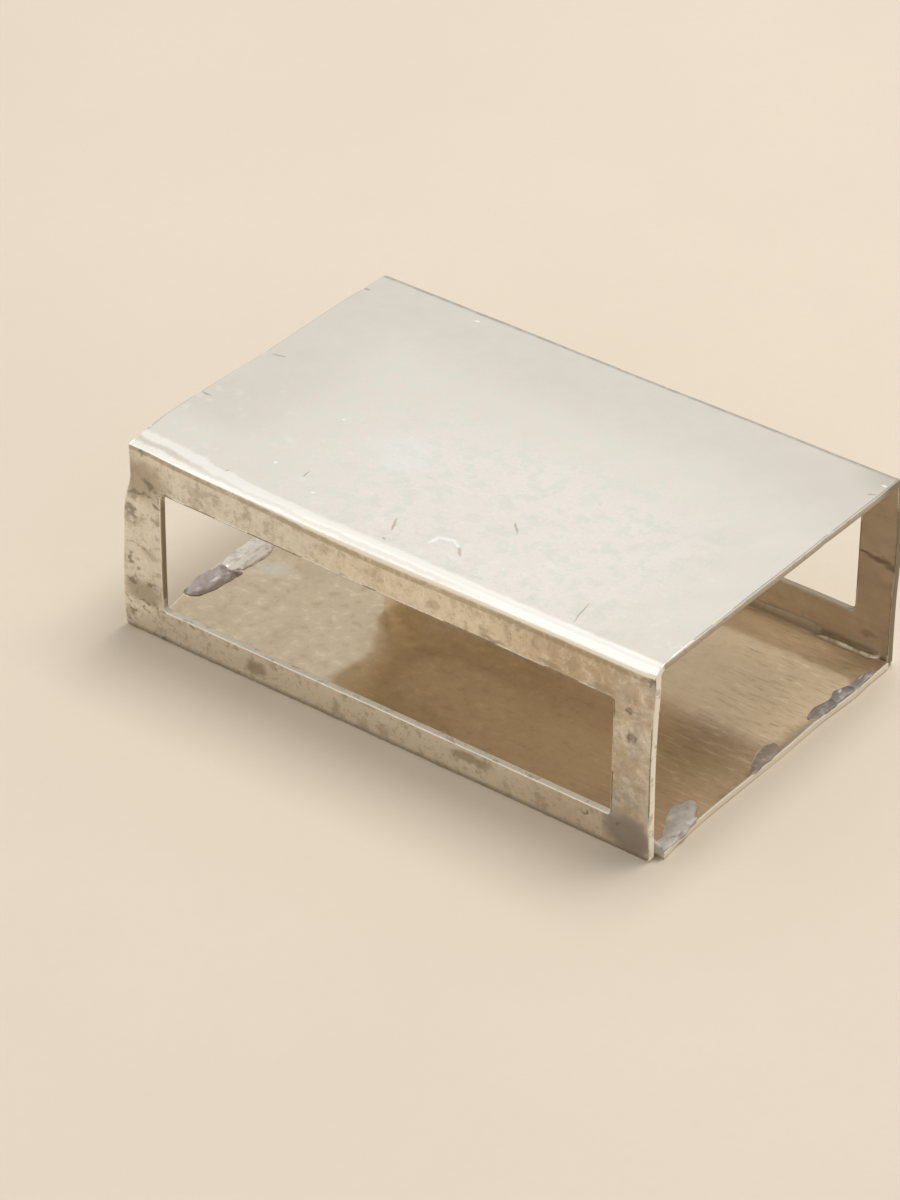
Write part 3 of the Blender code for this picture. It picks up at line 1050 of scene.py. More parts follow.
class Board:
    """The node board of one finish."""

    def __init__(self, tree: bpy.types.NodeTree) -> None:
        """Clear a node tree."""
        self.tree = tree
        tree.nodes.clear()

    def node(self, kind: str, settings: Mapping[str, object],
             values: Mapping[int | str, object]) -> bpy.types.Node:
        """Add a node.

        Args:
            kind: its type.
            settings: its own settings, which are set first.
            values: what goes into its sockets: a reading or another socket is linked, the rest is set.

        Returns:
            The node.
        """
        node = self.tree.nodes.new(kind)
        for name, setting in settings.items():
            setattr(node, name, setting)
        for name, value in values.items():
            socket = node.inputs[name]
            source = value.socket if isinstance(value, Reading) else value
            if isinstance(source, bpy.types.NodeSocket):
                self.tree.links.new(source, socket)
            elif socket.type == "RGBA":
                socket.default_value = (*source, 1.0)
            else:
                socket.default_value = source
        return node

    def vector(self, operation: str, *vectors: object, output: str = "Vector") -> bpy.types.NodeSocket:
        """Add one Vector Math node and return what it gives."""
        node = self.node("ShaderNodeVectorMath", {"operation": operation}, dict(enumerate(vectors)))
        return node.outputs[output]

    @cached_property
    def place(self) -> bpy.types.NodeSocket:
        """Each point's place, in the maker's millimetres."""
        model = self.node("ShaderNodeTexCoord", {}, {}).outputs["Object"]
        moved = self.vector("SUBTRACT", model, tuple(BENCH.origin))
        return self.vector("MULTIPLY", moved, (1.0 / MM,) * 3)

    def axes(self) -> tuple[Reading, Reading, Reading]:
        """Return x, y and z of each point's place."""
        parts = self.node("ShaderNodeSeparateXYZ", {}, {0: self.place})
        return tuple(Reading(self, socket) for socket in parts.outputs)

    def attribute(self, name: str) -> Reading:
        """Return a number that the mesh carries at its points."""
        return Reading(self, self.node("ShaderNodeAttribute", {"attribute_name": name}, {}).outputs["Fac"])

    def attribute_colour(self, name: str) -> bpy.types.NodeSocket:
        """Return a colour that the mesh carries at its points."""
        return self.node("ShaderNodeAttribute", {"attribute_name": name}, {}).outputs["Color"]

    def local(self, place: bpy.types.NodeSocket, middle: Place, turn: Place, reach: Place
              ) -> bpy.types.NodeSocket:
        """Return a place as seen from a middle, turned by degrees and measured in reaches."""
        values = {"Vector": place, "Location": middle, "Rotation": tuple(map(math.radians, turn)),
                  "Scale": reach}
        return self.node("ShaderNodeMapping", {"vector_type": "TEXTURE"}, values).outputs[0]

    @cache
    def noise(self, pattern: Pattern) -> Reading:
        """Return a pattern's uneven number, around 0.5."""
        seed = pattern.seed
        reach = tuple(pattern.size * share for share in pattern.stretch)
        local = self.local(self.place, (seed, 2.3 * seed, -seed), pattern.turn, reach)
        values = {"Vector": local, "Scale": 1.0, "Detail": pattern.layers, "Roughness": pattern.rough}
        return Reading(self, self.node("ShaderNodeTexNoise", {}, values).outputs["Fac"])

    def sway(self, pattern: Pattern, amount: float) -> Reading:
        """Return a pattern's uneven number, around 0, times an amount."""
        return (self.noise(pattern) - 0.5) * amount

    @cache
    def ragged(self, size: float, amount: float) -> bpy.types.NodeSocket:
        """Return the place moved about unevenly, for shapes with an uneven outline.

        Args:
            size: size of the pattern that moves it.
            amount: how far it moves at most.

        Returns:
            The moved place.
        """
        values = {"Vector": self.place, "Scale": 1.0 / size, "Detail": 3.0}
        drift = self.node("ShaderNodeTexNoise", {}, values).outputs["Color"]
        centred = self.vector("SUBTRACT", drift, (0.5, 0.5, 0.5))
        return self.vector("ADD", self.place, self.vector("MULTIPLY", centred, (2.0 * amount,) * 3))

    def marks(self, marks: Sequence[Mark], place: bpy.types.NodeSocket) -> Reading:
        """Return 1 in the middle of each mark, falling evenly to 0 at its border.

        Args:
            marks: the marks.
            place: the place that each is measured on.

        Returns:
            The largest number of any mark. It goes below 0 outside them all.
        """
        away = [self.local(place, mark.middle, mark.turn, mark.reach) for mark in marks]
        near = [1.0 - Reading(self, self.vector("LENGTH", local, output="Value")) for local in away]
        return reduce(Reading.most, near)

    def blend(self, share: Reading | float, first: object, second: object) -> bpy.types.NodeSocket:
        """Mix two colours."""
        return self.node("ShaderNodeMix", {"data_type": "RGBA"}, {0: share, 6: first, 7: second}).outputs[2]


class Dressing:
    """What a surface has been given so far, layer over layer: colour, roughness, metal and relief."""

    def __init__(self, board: Board, colour: object, roughness: Reading | float,
                 metallic: Reading | float = 1.0) -> None:
        """Start from one colour, one roughness and one share of bare metal."""
        self.board = board
        self.colour = colour
        self.roughness = roughness
        self.metallic = metallic
        self.relief: Reading | float = 0.0

    def lay(self, share: Reading, colour: object, roughness: float | None = None,
            metallic: Reading | float | None = None) -> None:
        """Lay another colour over the surface, and another roughness and share of metal with it.

        Args:
            share: how much of it shows at each point.
            colour: the new colour.
            roughness: the new roughness, or None to keep the old one.
            metallic: the new share of bare metal, or None to keep the old one.
        """
        self.colour = self.board.blend(share, self.colour, colour)
        if roughness is not None:
            self.roughness = self.roughness + share * (roughness - self.roughness)
        if metallic is not None:
            self.metallic = self.metallic + share * (metallic - self.metallic)

    def coat(self, coat: Coat, where: Reading | float = 1.0) -> None:
        """Lay a coat where it may show."""
        shows = self.board.noise(coat.pattern).step(*coat.passes)
        self.lay(shows * coat.share * where, coat.colour, coat.roughness)

    def spot(self, spots: Spots, where: Reading | float = 1.0) -> None:
        """Lay marks where they may show."""
        shows = self.board.marks(spots.marks, self.board.ragged(*spots.drift)).step(*spots.fade)
        self.lay(shows * spots.share * where, spots.colour, spots.roughness, spots.metallic)

    def raise_by(self, height: Reading) -> None:
        """Raise the surface by a height in millimetres."""
        self.relief = height + self.relief

    def finish(self) -> None:
        """Wire the shader and the material's output."""
        board = self.board
        bump = board.node("ShaderNodeBump", {}, {"Strength": 1.0, "Distance": MM, "Height": self.relief})
        values = {"Base Color": self.colour, "Roughness": self.roughness, "Metallic": self.metallic,
                  "Normal": bump.outputs[0]}
        shader = board.node("ShaderNodeBsdfPrincipled", {}, values)
        board.node("ShaderNodeOutputMaterial", {}, {0: shader.outputs[0]})


@dataclass(frozen=True)
class Finish:
    """A surface finish, which makes its own material."""

    name: str

    def paint(self, board: Board) -> None:
        """Lay the finish on a board."""
        raise NotImplementedError

    def material(self) -> bpy.types.Material:
        """Return the finish's material, made once."""
        known = bpy.data.materials.get(self.name)
        if known is not None:
            return known
        material = bpy.data.materials.new(self.name)
        material.use_nodes = True
        self.paint(Board(material.node_tree))
        return material


@dataclass(frozen=True)
class CoverSilver(Finish):
    """Old silver sheet: satin on top with painted light and painted shade, bright on the near bend, partly
    with a painted highlight, mottled on the walls, brown inside.

    The spans name where a tone sets in along the sleeve, across it or up the wall, in millimetres, or
    over which shares of a bend or of the sheet's depth.
    """

    # The paler top tone is painted light. The grey and dull top tones serve both as tarnish and as painted
    # shade.
    top: Colour = (0.785, 0.74, 0.67)
    top_lit: Colour = (0.835, 0.79, 0.735)
    top_green: Colour = (0.755, 0.76, 0.68)
    top_grey_and_shade: Colour = (0.70, 0.655, 0.58)
    top_dull_and_shade: Colour = (0.54, 0.51, 0.44)
    # Painted shade tone of the far bend.
    far_bend_shade: Colour = (0.42, 0.39, 0.33)
    glare: Colour = (0.82, 0.845, 0.80)
    spark: Colour = (0.99, 0.98, 0.95)
    # The bend tone is polished silver, brightened into a painted highlight.
    bend: Colour = (0.955, 0.925, 0.865)
    # Painted shade tone for the line where the near bend's reflection dips.
    bend_shade: Colour = (0.66, 0.61, 0.53)
    wall_left: Colour = (0.745, 0.71, 0.635)
    wall_middle: Colour = (0.77, 0.68, 0.54)
    wall_right: Colour = (0.57, 0.455, 0.33)
    stile: Colour = (0.56, 0.49, 0.40)
    stile_cool: Colour = (0.50, 0.46, 0.42)
    under_bend: Colour = (0.34, 0.28, 0.18)
    worn: Colour = (0.90, 0.84, 0.74)
    stain: Colour = (0.40, 0.335, 0.24)
    # Dark pits, and the painted shadow along the walls' foot.
    pit_and_shadow: Colour = (0.20, 0.165, 0.12)
    grey_stain: Colour = (0.37, 0.325, 0.31)
    underside: Colour = (0.73, 0.68, 0.61)
    inside_left: Colour = (1.0, 0.90, 0.74)
    inside_right: Colour = (0.62, 0.525, 0.41)
    inside_dark: Colour = (0.42, 0.32, 0.21)
    cut: Colour = (1.0, 0.95, 0.81)
    cut_brown: Colour = (0.36, 0.295, 0.22)
    # Painted shade tone of the far wall's cut faces.
    far_cut_shade: Colour = (0.25, 0.20, 0.13)
    cut_olive: Colour = (0.42, 0.345, 0.22)

    relief: Pattern = Pattern(0.35, 3.0)
    relief_height: float = 0.004

    top_cloud: Pattern = Pattern(6.0, 1.0)
    top_mottle: Pattern = Pattern(1.8, 12.0, 4.0, 0.65)
    grain: Pattern = Pattern(0.22, 14.0, 2.0)
    # Where the top is laid paler as painted light, and greyer as painted shade, in millimetres.
    lit_across: Span = (27.0, 16.0)
    lit_start: Span = (8.0, 27.0)
    lit_end: Span = (59.0, 47.0)
    shaded_far: Span = (24.0, 33.0)
    shaded_left: Span = (13.0, 3.0)
    shaded_left_across: Span = (5.0, 9.0)
    shaded_right: Span = (38.0, 56.0)
    low_across: Span = (6.5, 2.5)
    low_start: Span = (20.0, 30.0)
    green_film: Coat = Coat(top_mottle, (0.49, 0.57), 0.8, top_green)
    low_film: Coat = Coat(Pattern(0.9, 15.0), (0.54, 0.68), 0.4, top_grey_and_shade)
    # Painted highlight: fine bright specks of sparkle in the paler part of the top.
    painted_sparkle: Coat = Coat(grain, (0.58, 0.72), 0.3, spark)
    grey_grain: Coat = Coat(grain, (0.44, 0.28), 0.25, top_grey_and_shade)
    top_hair: Coat = Coat(Pattern(0.12, 21.0, 1.0, 0.5, (40.0, 1.0, 1.0), (0.0, 0.0, 28.0)),
                          (0.70, 0.80), 0.2, top_grey_and_shade, 0.36)
    # Painted shade in the far right corner of the top.
    shaded_far_corner: Spots = Spots((Mark((57.5, 37.0, 20.2), (5.5, 4.5, 3.0)),), 0.8, top_dull_and_shade,
                               fade=(0.0, 1.0), drift=(1.0, 0.0))
    glare_patch: Spots = Spots((Mark((20.6, 13.4, 20.2), (5.6, 4.6, 3.0)),), 0.45, glare,
                               fade=(0.0, 0.8), drift=(1.6, 1.6))
    ticks: Spots = Spots((
        Mark((27.1, 4.0, 20.2), (0.19, 1.35, 0.5), (0.0, 0.0, 25.0)),
        Mark((35.9, 10.0, 20.2), (0.16, 1.2, 0.5), (0.0, 0.0, 44.0)),
        Mark((34.2, 4.1, 20.2), (0.22, 0.95, 0.5), (0.0, 0.0, 40.0)),
        Mark((16.0, 5.6, 20.2), (0.1, 0.7, 0.5)),
        Mark((48.0, 2.9, 20.2), (0.11, 2.0, 0.5), (0.0, 0.0, 11.0)),
        Mark((10.1, 1.6, 20.1), (0.45, 0.12, 0.6), (0.0, 0.0, 60.0)),
        Mark((1.45, 19.7, 20.2), (0.9, 0.13, 0.5), (0.0, 0.0, 20.0)),
        Mark((0.5, 10.5, 20.2), (0.7, 0.18, 0.5)), Mark((0.4, 34.0, 20.2), (0.6, 0.2, 0.5)),
        Mark((57.3, 33.6, 20.2), (0.5, 0.18, 0.5), (0.0, 0.0, 40.0)),
        Mark((27.8, 1.7, 20.1), (0.3, 0.16, 0.5))), 0.7, stain, 0.4, fade=(0.0, 0.5), drift=(0.7, 0.14))
    scratches: Spots = Spots((
        Mark((31.4, 4.1, 20.2), (0.3, 0.9, 0.5), (0.0, 0.0, -14.0)),
        Mark((32.2, 4.95, 20.2), (1.3, 0.3, 0.5), (0.0, 0.0, 14.0)),
        Mark((33.3, 4.8, 20.2), (0.9, 0.18, 0.5), (0.0, 0.0, -25.0)),
        Mark((13.1, 14.6, 20.2), (0.2, 0.2, 0.5)), Mark((18.3, 3.6, 20.2), (0.3, 0.2, 0.5)),
        Mark((12.7, 5.4, 20.2), (0.2, 0.3, 0.5)), Mark((57.4, 35.4, 20.2), (0.35, 0.14, 0.5)),
        Mark((12.1, 35.8, 20.2), (0.35, 0.16, 0.5)),
        Mark((23.3, 0.6, 19.7), (0.28, 0.7, 0.7))), 0.9, spark, 0.25, fade=(0.0, 0.5), drift=(0.7, 0.14))

    bend_mottle: Pattern = Pattern(2.0, 31.0, 4.0, 0.65)
    bend_sway: float = 0.35
    polish_and_highlight_band: Place = (0.10, 0.86, 0.12)
    bend_across: Span = (20.0, 10.0)
    # Where the painted shade line lies in the near bend's left part.
    shade_line_band: Place = (0.40, 0.46, 0.13)
    line_drop: float = 0.14
    line_drop_end: Span = (14.0, 3.0)
    line_end: Span = (43.0, 34.0)
    line_strong: Span = (10.0, 4.0)
    far_shade_mottle: Pattern = Pattern(0.8, 33.0)
    far_bend: Span = (1.2, 0.8)
    far_roll: Span = (0.15, 0.4)

    wall_roll: Span = (0.14, 0.02)
    wall_cloud: Pattern = Pattern(4.5, 41.0)
    wall_mottle: Pattern = Pattern(1.5, 42.0, 4.0, 0.6)
    wall_fine: Pattern = Pattern(0.5, 46.0, 3.0, 0.6)
    middle_start: Span = (12.0, 32.0)
    right_start: Span = (39.0, 49.0)
    stile_start: Span = (52.8, 54.2)
    stile_cool_start: Span = (53.4, 54.6)
    worn_sill: Span = (5.2, 3.0)
    worn_sill_end: Span = (40.0, 50.0)
    worn_stile: Span = (56.2, 57.2)
    worn_stile_low: Span = (3.4, 4.6)
    worn_stile_high: Span = (14.5, 13.0)
    under_band: Place = (-0.35, -0.05, 0.16)
    blotchy_end: Span = (12.0, 3.0)
    # Height over which the painted foot shadow fades in.
    foot_shadow: Span = (0.8, 0.1)
    wall_coats: Sequence[Coat] = (
        Coat(wall_mottle, (0.52, 0.68), 0.45, worn, 0.22), Coat(wall_mottle, (0.48, 0.33), 0.5, stain, 0.34),
        Coat(wall_fine, (0.54, 0.68), 0.3, worn), Coat(wall_fine, (0.45, 0.32), 0.35, stain))
    wall_blotches: Coat = Coat(Pattern(1.1, 43.0, 4.0, 0.6), (0.54, 0.70), 1.0, pit_and_shadow, 0.42)
    wall_specks: Coat = Coat(Pattern(0.22, 44.0, 1.0), (0.66, 0.76), 0.35, pit_and_shadow, 0.45)
    wall_hair: Coat = Coat(Pattern(0.10, 45.0, 1.0, 0.5, (30.0, 1.0, 1.0), (0.0, 8.0, 0.0)),
                           (0.66, 0.76), 0.3, worn)
    wall_stains: Spots = Spots((
        Mark((1.2, 0.0, 16.6), (4.6, 0.8, 2.9)), Mark((1.3, 0.0, 4.4), (3.0, 0.8, 1.7)),
        Mark((55.8, 0.0, 1.9), (3.4, 0.8, 2.3)), Mark((52.3, 0.0, 15.9), (1.9, 0.6, 0.6)),
        Mark((47.0, 0.0, 16.1), (1.6, 0.6, 0.35)), Mark((41.0, 0.0, 16.0), (1.8, 0.6, 0.35)),
        Mark((14.4, 0.0, 1.6), (1.6, 0.6, 1.0)), Mark((38.5, 0.0, 2.4), (3.0, 0.6, 0.7))),
        0.75, stain, 0.36)
    solder_stain: Spots = Spots((Mark((55.6, 0.0, 2.3), (3.6, 0.8, 2.4), (0.0, 20.0, 0.0)),),
                                0.7, grey_stain, 0.4, fade=(0.0, 0.5))
    wall_pits: Spots = Spots((
        Mark((2.5, 0.0, 16.3), (1.1, 0.6, 0.5), (0.0, 12.0, 0.0)), Mark((4.0, 0.0, 15.7), (0.9, 0.6, 0.35)),
        Mark((0.2, 0.0, 12.8), (1.1, 0.6, 1.1)), Mark((3.2, 0.0, 14.5), (0.9, 0.6, 0.35), (0.0, 25.0, 0.0)),
        Mark((1.2, 0.0, 15.0), (2.2, 0.6, 0.5), (0.0, -15.0, 0.0)), Mark((0.0, 0.0, 7.6), (0.5, 0.6, 1.2)),
        Mark((0.1, 0.0, 5.4), (0.7, 0.6, 0.9)), Mark((2.3, 0.0, 5.5), (0.8, 0.6, 0.5)),
        Mark((0.3, 0.0, 2.0), (0.9, 0.6, 0.5)), Mark((1.6, 0.0, 3.6), (1.2, 0.6, 0.35)),
        Mark((5.2, 0.0, 4.4), (0.8, 0.6, 0.3)), Mark((7.0, 0.0, 3.1), (0.8, 0.6, 0.3)),
        Mark((51.1, 0.0, 2.3), (0.6, 0.6, 0.3)), Mark((54.6, 0.0, 2.7), (0.4, 0.6, 0.4)),
        Mark((55.6, 0.0, 14.9), (0.8, 0.6, 0.4)), Mark((55.5, 0.0, 12.0), (0.5, 0.6, 1.1), (0.0, 20.0, 0.0)),
        Mark((57.5, 0.0, 18.7), (0.42, 0.8, 0.5))), 0.7, pit_and_shadow, 0.45, fade=(0.0, 0.7), drift=(0.9, 1.1))

    inside_depth: Span = (0.45, 0.75)
    inside_cloud: Pattern = Pattern(3.0, 52.0)
    streaks: Pattern = Pattern(0.45, 51.0, 4.0, 0.6, (9.0, 1.0, 1.0))
    inside_brown: Span = (20.0, 56.0)
    inside_top: Span = (0.2, 0.9)
    inside_bare: Span = (20.0, 45.0)
    inside_coats: Sequence[Coat] = (
        Coat(streaks, (0.48, 0.3), 0.25, inside_dark), Coat(streaks, (0.58, 0.76), 0.15, worn),
        Coat(Pattern(1.3, 53.0, 4.0), (0.5, 0.7), 0.25, inside_dark))
    # Dark smears inside the far wall. The last mark, on its right end face, is painted shade.
    far_smears_and_end_shade: Spots = Spots((
        Mark((56.4, 37.1, 11.1), (2.3, 0.5, 0.6), (0.0, -3.0, 0.0)),
        Mark((55.7, 37.1, 2.7), (1.1, 0.5, 0.5)),
        Mark((58.2, 37.45, 9.0), (0.55, 0.8, 9.0))), 0.7, inside_dark, 0.45)
    far_scars: Spots = Spots((
        Mark((54.9, 37.1, 11.3), (1.2, 0.5, 0.22), (0.0, 6.0, 0.0)),
        Mark((56.5, 37.1, 11.0), (1.7, 0.5, 0.45)),
        Mark((58.0, 37.1, 10.65), (1.5, 0.5, 0.6))), 0.75, pit_and_shadow, 0.5, fade=(0.0, 0.7), drift=(0.7, 0.3))

    edge_mottle: Pattern = Pattern(0.9, 61.0)
    cut_band: Place = (0.2, 0.8, 0.12)
    cut_edge: Span = (0.12, 0.02)
    flat_roll: Span = (0.85, 1.0)
    # Across the sleeve, where painted shade on the far wall's cut faces sets in.
    far_cut_shade_start: Span = (33.0, 36.0)
    arris_edge: Span = (0.17, 0.04)
    arris_depth: Span = (0.75, 0.9)
    cut_stain: Coat = Coat(edge_mottle, (0.46, 0.34), 0.45, stain)
    # Olive cut faces. The mark on the far wall's right end face is painted shade.
    olive_cuts_and_end_shade: Spots = Spots((
        Mark((3.75, 0.35, 9.6), (0.75, 1.2, 7.2)), Mark((58.25, 37.45, 9.0), (0.9, 1.2, 12.0))), 0.95,
        cut_olive, 0.5, 0.6, fade=(0.0, 0.3))

    def paint(self, board: Board) -> None:
        """Lay the finish on a board, from the top down to the cut edges."""
        x, y, z = board.axes()
        edge, depth, roll = board.attribute("edge"), board.attribute("depth"), board.attribute("roll")
        dressing = Dressing(board, self.top, 0.3)
        self.paint_top(dressing, x, y)
        self.paint_bends(dressing, x, y, roll)
        self.paint_walls(dressing, x, z, roll)
        self.paint_inside(dressing, x, roll, depth.step(*self.inside_depth))
        self.paint_edges(dressing, y, edge, depth, roll)
        dressing.raise_by(board.noise(self.relief) * self.relief_height)
        dressing.finish()

    def paint_top(self, dressing: Dressing, x: Reading, y: Reading) -> None:
        """Lay the top's tones: painted light makes it pale in the middle, and painted shade makes it grey to
        the left and far edges and dull in a far corner.

        Args:
            dressing: the surface so far.
            x, y: each point's place.
        """
        board = dressing.board
        uneven = board.sway(self.top_cloud, 0.7) + board.sway(self.top_mottle, 1.1)
        # Painted light: the middle and near part of the top are laid paler, and the left, far and right
        # parts greyer as painted shade.
        pale = y.step(*self.lit_across) * x.step(*self.lit_start) * x.step(*self.lit_end)
        dressing.lay((pale * 1.1 + uneven - 0.1).clamp(), self.top_lit)
        dressing.coat(self.green_film)
        grey = y.step(*self.shaded_far).most(x.step(*self.shaded_left) * y.step(*self.shaded_left_across))
        grey = grey * 0.75 + x.step(*self.shaded_right) * 0.4
        dressing.lay((grey + uneven * 0.5 - 0.05).clamp(), self.top_grey_and_shade)
        # Painted shade: the far right corner is laid dull.
        dressing.spot(self.shaded_far_corner)
        dressing.spot(self.glare_patch)
        dressing.coat(self.low_film, y.step(*self.low_across) * x.step(*self.low_start))
        # Painted sparkle: bright specks laid as highlights where the top is paler.
        dressing.coat(self.painted_sparkle, pale)
        dressing.coat(self.grey_grain)
        dressing.coat(self.top_hair)
        dressing.spot(self.ticks)
        dressing.spot(self.scratches)

    def paint_bends(self, dressing: Dressing, x: Reading, y: Reading, roll: Reading) -> None:
        """Lay the near bend bright, partly polish and partly a painted highlight, with a line of painted
        shade in its left part, and lay painted shade on the far bend.

        Args:
            dressing: the surface so far.
            x, y: each point's place.
            roll: how far the sheet has rolled from a wall to the top.
        """
        board = dressing.board
        uneven = roll + board.sway(self.bend_mottle, self.bend_sway)
        # Polish and painted highlight: the near bend is laid bright.
        dressing.lay(uneven.band(*self.polish_and_highlight_band) * y.step(*self.bend_across), self.bend, 0.24)
        # Painted shade: a greyer line in the bend's left part, where its reflection dips.
        middle = uneven - self.line_drop * x.step(*self.line_drop_end)
        dull = middle.band(*self.shade_line_band) * x.step(*self.line_end)
        dressing.lay(dull * (0.45 + 0.4 * x.step(*self.line_strong)), self.bend_shade, 0.3)
        # Painted shade: the far bend is laid darker, carrying on the top's greyer far edge.
        far = (BENCH.width - y).step(*self.far_bend) * roll.step(*self.far_roll)
        dressing.lay(far * (0.65 + 0.35 * board.noise(self.far_shade_mottle).step(0.4, 0.6)), self.far_bend_shade, 0.4)

    def paint_walls(self, dressing: Dressing, x: Reading, z: Reading, roll: Reading) -> None:
        """Lay the walls' outer faces: paler to the left, browner to the right, mottled and pitted, with a
        painted shadow along the foot.

        Args:
            dressing: the surface so far.
            x, z: each point's place.
            roll: how far the sheet has rolled from a wall to the top.
        """
        board = dressing.board
        wall, mottle = roll.step(*self.wall_roll), board.noise(self.wall_mottle)
        sway, cool = board.sway(self.wall_cloud, 0.4), board.noise(self.wall_cloud).step(0.46, 0.6)
        tone = board.blend((x.step(*self.middle_start) + sway).clamp(), self.wall_left, self.wall_middle)
        tone = board.blend((x.step(*self.right_start) + sway).clamp(), tone, self.wall_right)
        tone = board.blend(x.step(*self.stile_start) * mottle.step(0.35, 0.65), tone, self.stile)
        tone = board.blend(x.step(*self.stile_cool_start) * cool * 0.8, tone, self.stile_cool)
        dressing.lay(wall, tone, 0.26)
        sill = z.step(*self.worn_sill) * (0.85 - 0.25 * x.step(*self.worn_sill_end))
        dressing.lay(wall * sill, self.worn)
        stile = x.step(*self.worn_stile) * z.step(*self.worn_stile_low) * z.step(*self.worn_stile_high)
        dressing.lay(wall * stile * 0.4, self.worn)
        dressing.lay(wall * roll.band(*self.under_band) * (0.25 + mottle) * 0.8, self.under_bend, 0.32)
        for coat in self.wall_coats:
            dressing.coat(coat, wall)
        dressing.coat(self.wall_blotches, wall * (0.12 + 0.5 * x.step(*self.blotchy_end)))
        for coat in (self.wall_specks, self.wall_hair):
            dressing.coat(coat, wall)
        for spots in (self.wall_stains, self.solder_stain, self.wall_pits):
            dressing.spot(spots, wall)
        # Painted shadow: the wall's foot is laid dark where it meets the floor.
        dressing.lay(wall * z.step(*self.foot_shadow) * (0.4 + mottle * 0.6), self.pit_and_shadow, 0.45)

    def paint_inside(self, dressing: Dressing, x: Reading, roll: Reading, inside: Reading) -> None:
        """Lay the tarnish inside, streaked along the sleeve: brown on the walls, pale under the top.

        Args:
            dressing: the surface so far.
            x: each point's place along the sleeve.
            roll: how far the sheet has rolled from a wall to the top.
            inside: how much of the inner skin shows at each point.
        """
        board = dressing.board
        brown = (x.step(*self.inside_brown) + board.sway(self.inside_cloud, 0.8)).clamp()
        tone = board.blend(brown, self.inside_left, self.inside_right)
        tone = board.blend(roll.step(*self.inside_top), tone, self.underside)
        dressing.lay(inside, tone, 0.36, 0.6 + 0.15 * x.step(*self.inside_bare))
        for coat in self.inside_coats:
            dressing.coat(coat, inside)
        # Dark smears, and painted shade on the far wall's right end face.
        dressing.spot(self.far_smears_and_end_shade)
        dressing.spot(self.far_scars)

    def paint_edges(self, dressing: Dressing, y: Reading, edge: Reading, depth: Reading, roll: Reading
                    ) -> None:
        """Lay the cut faces, pale in front and olive and dark at the back, the dark being painted shade, and
        rub the walls' arrises bright.

        Args:
            dressing: the surface so far.
            y: each point's place across the sleeve.
            edge: each point's distance to the nearest free edge.
            depth: each point's depth in the sheet.
            roll: how far the sheet has rolled from a wall to the top.
        """
        uneven, dark = dressing.board.noise(self.edge_mottle), y.step(*self.far_cut_shade_start)
        cut, flat = depth.band(*self.cut_band) * edge.step(*self.cut_edge), roll.step(*self.flat_roll)
        dressing.lay(cut * (0.6 + uneven * 0.8).clamp(), self.cut, 0.6, 0.2)
        dressing.coat(self.cut_stain, cut)
        # Olive cuts, with painted shade on the far wall's right end face.
        dressing.spot(self.olive_cuts_and_end_shade, cut)
        dressing.lay(cut * flat * (0.6 + depth.step(0.3, 0.7) * 0.4), self.cut_brown, 0.5, 0.5)
        # Painted shade: the far wall's cut faces are laid dark, and its arrises are not rubbed bright.
        dressing.lay(cut * dark * 0.95, self.far_cut_shade, 0.5, 0.5)
        outer = 1.0 - depth.step(*self.arris_depth)
        arris = edge.step(*self.arris_edge) * (1.0 - cut) * outer * (1.0 - dark)
        dressing.lay(arris * (1.0 - flat) * (0.3 + 0.65 * uneven.step(0.35, 0.6)), self.worn, 0.22)
        dressing.lay(arris * flat * (0.7 + 0.3 * uneven), self.top_dull_and_shade, 0.5)


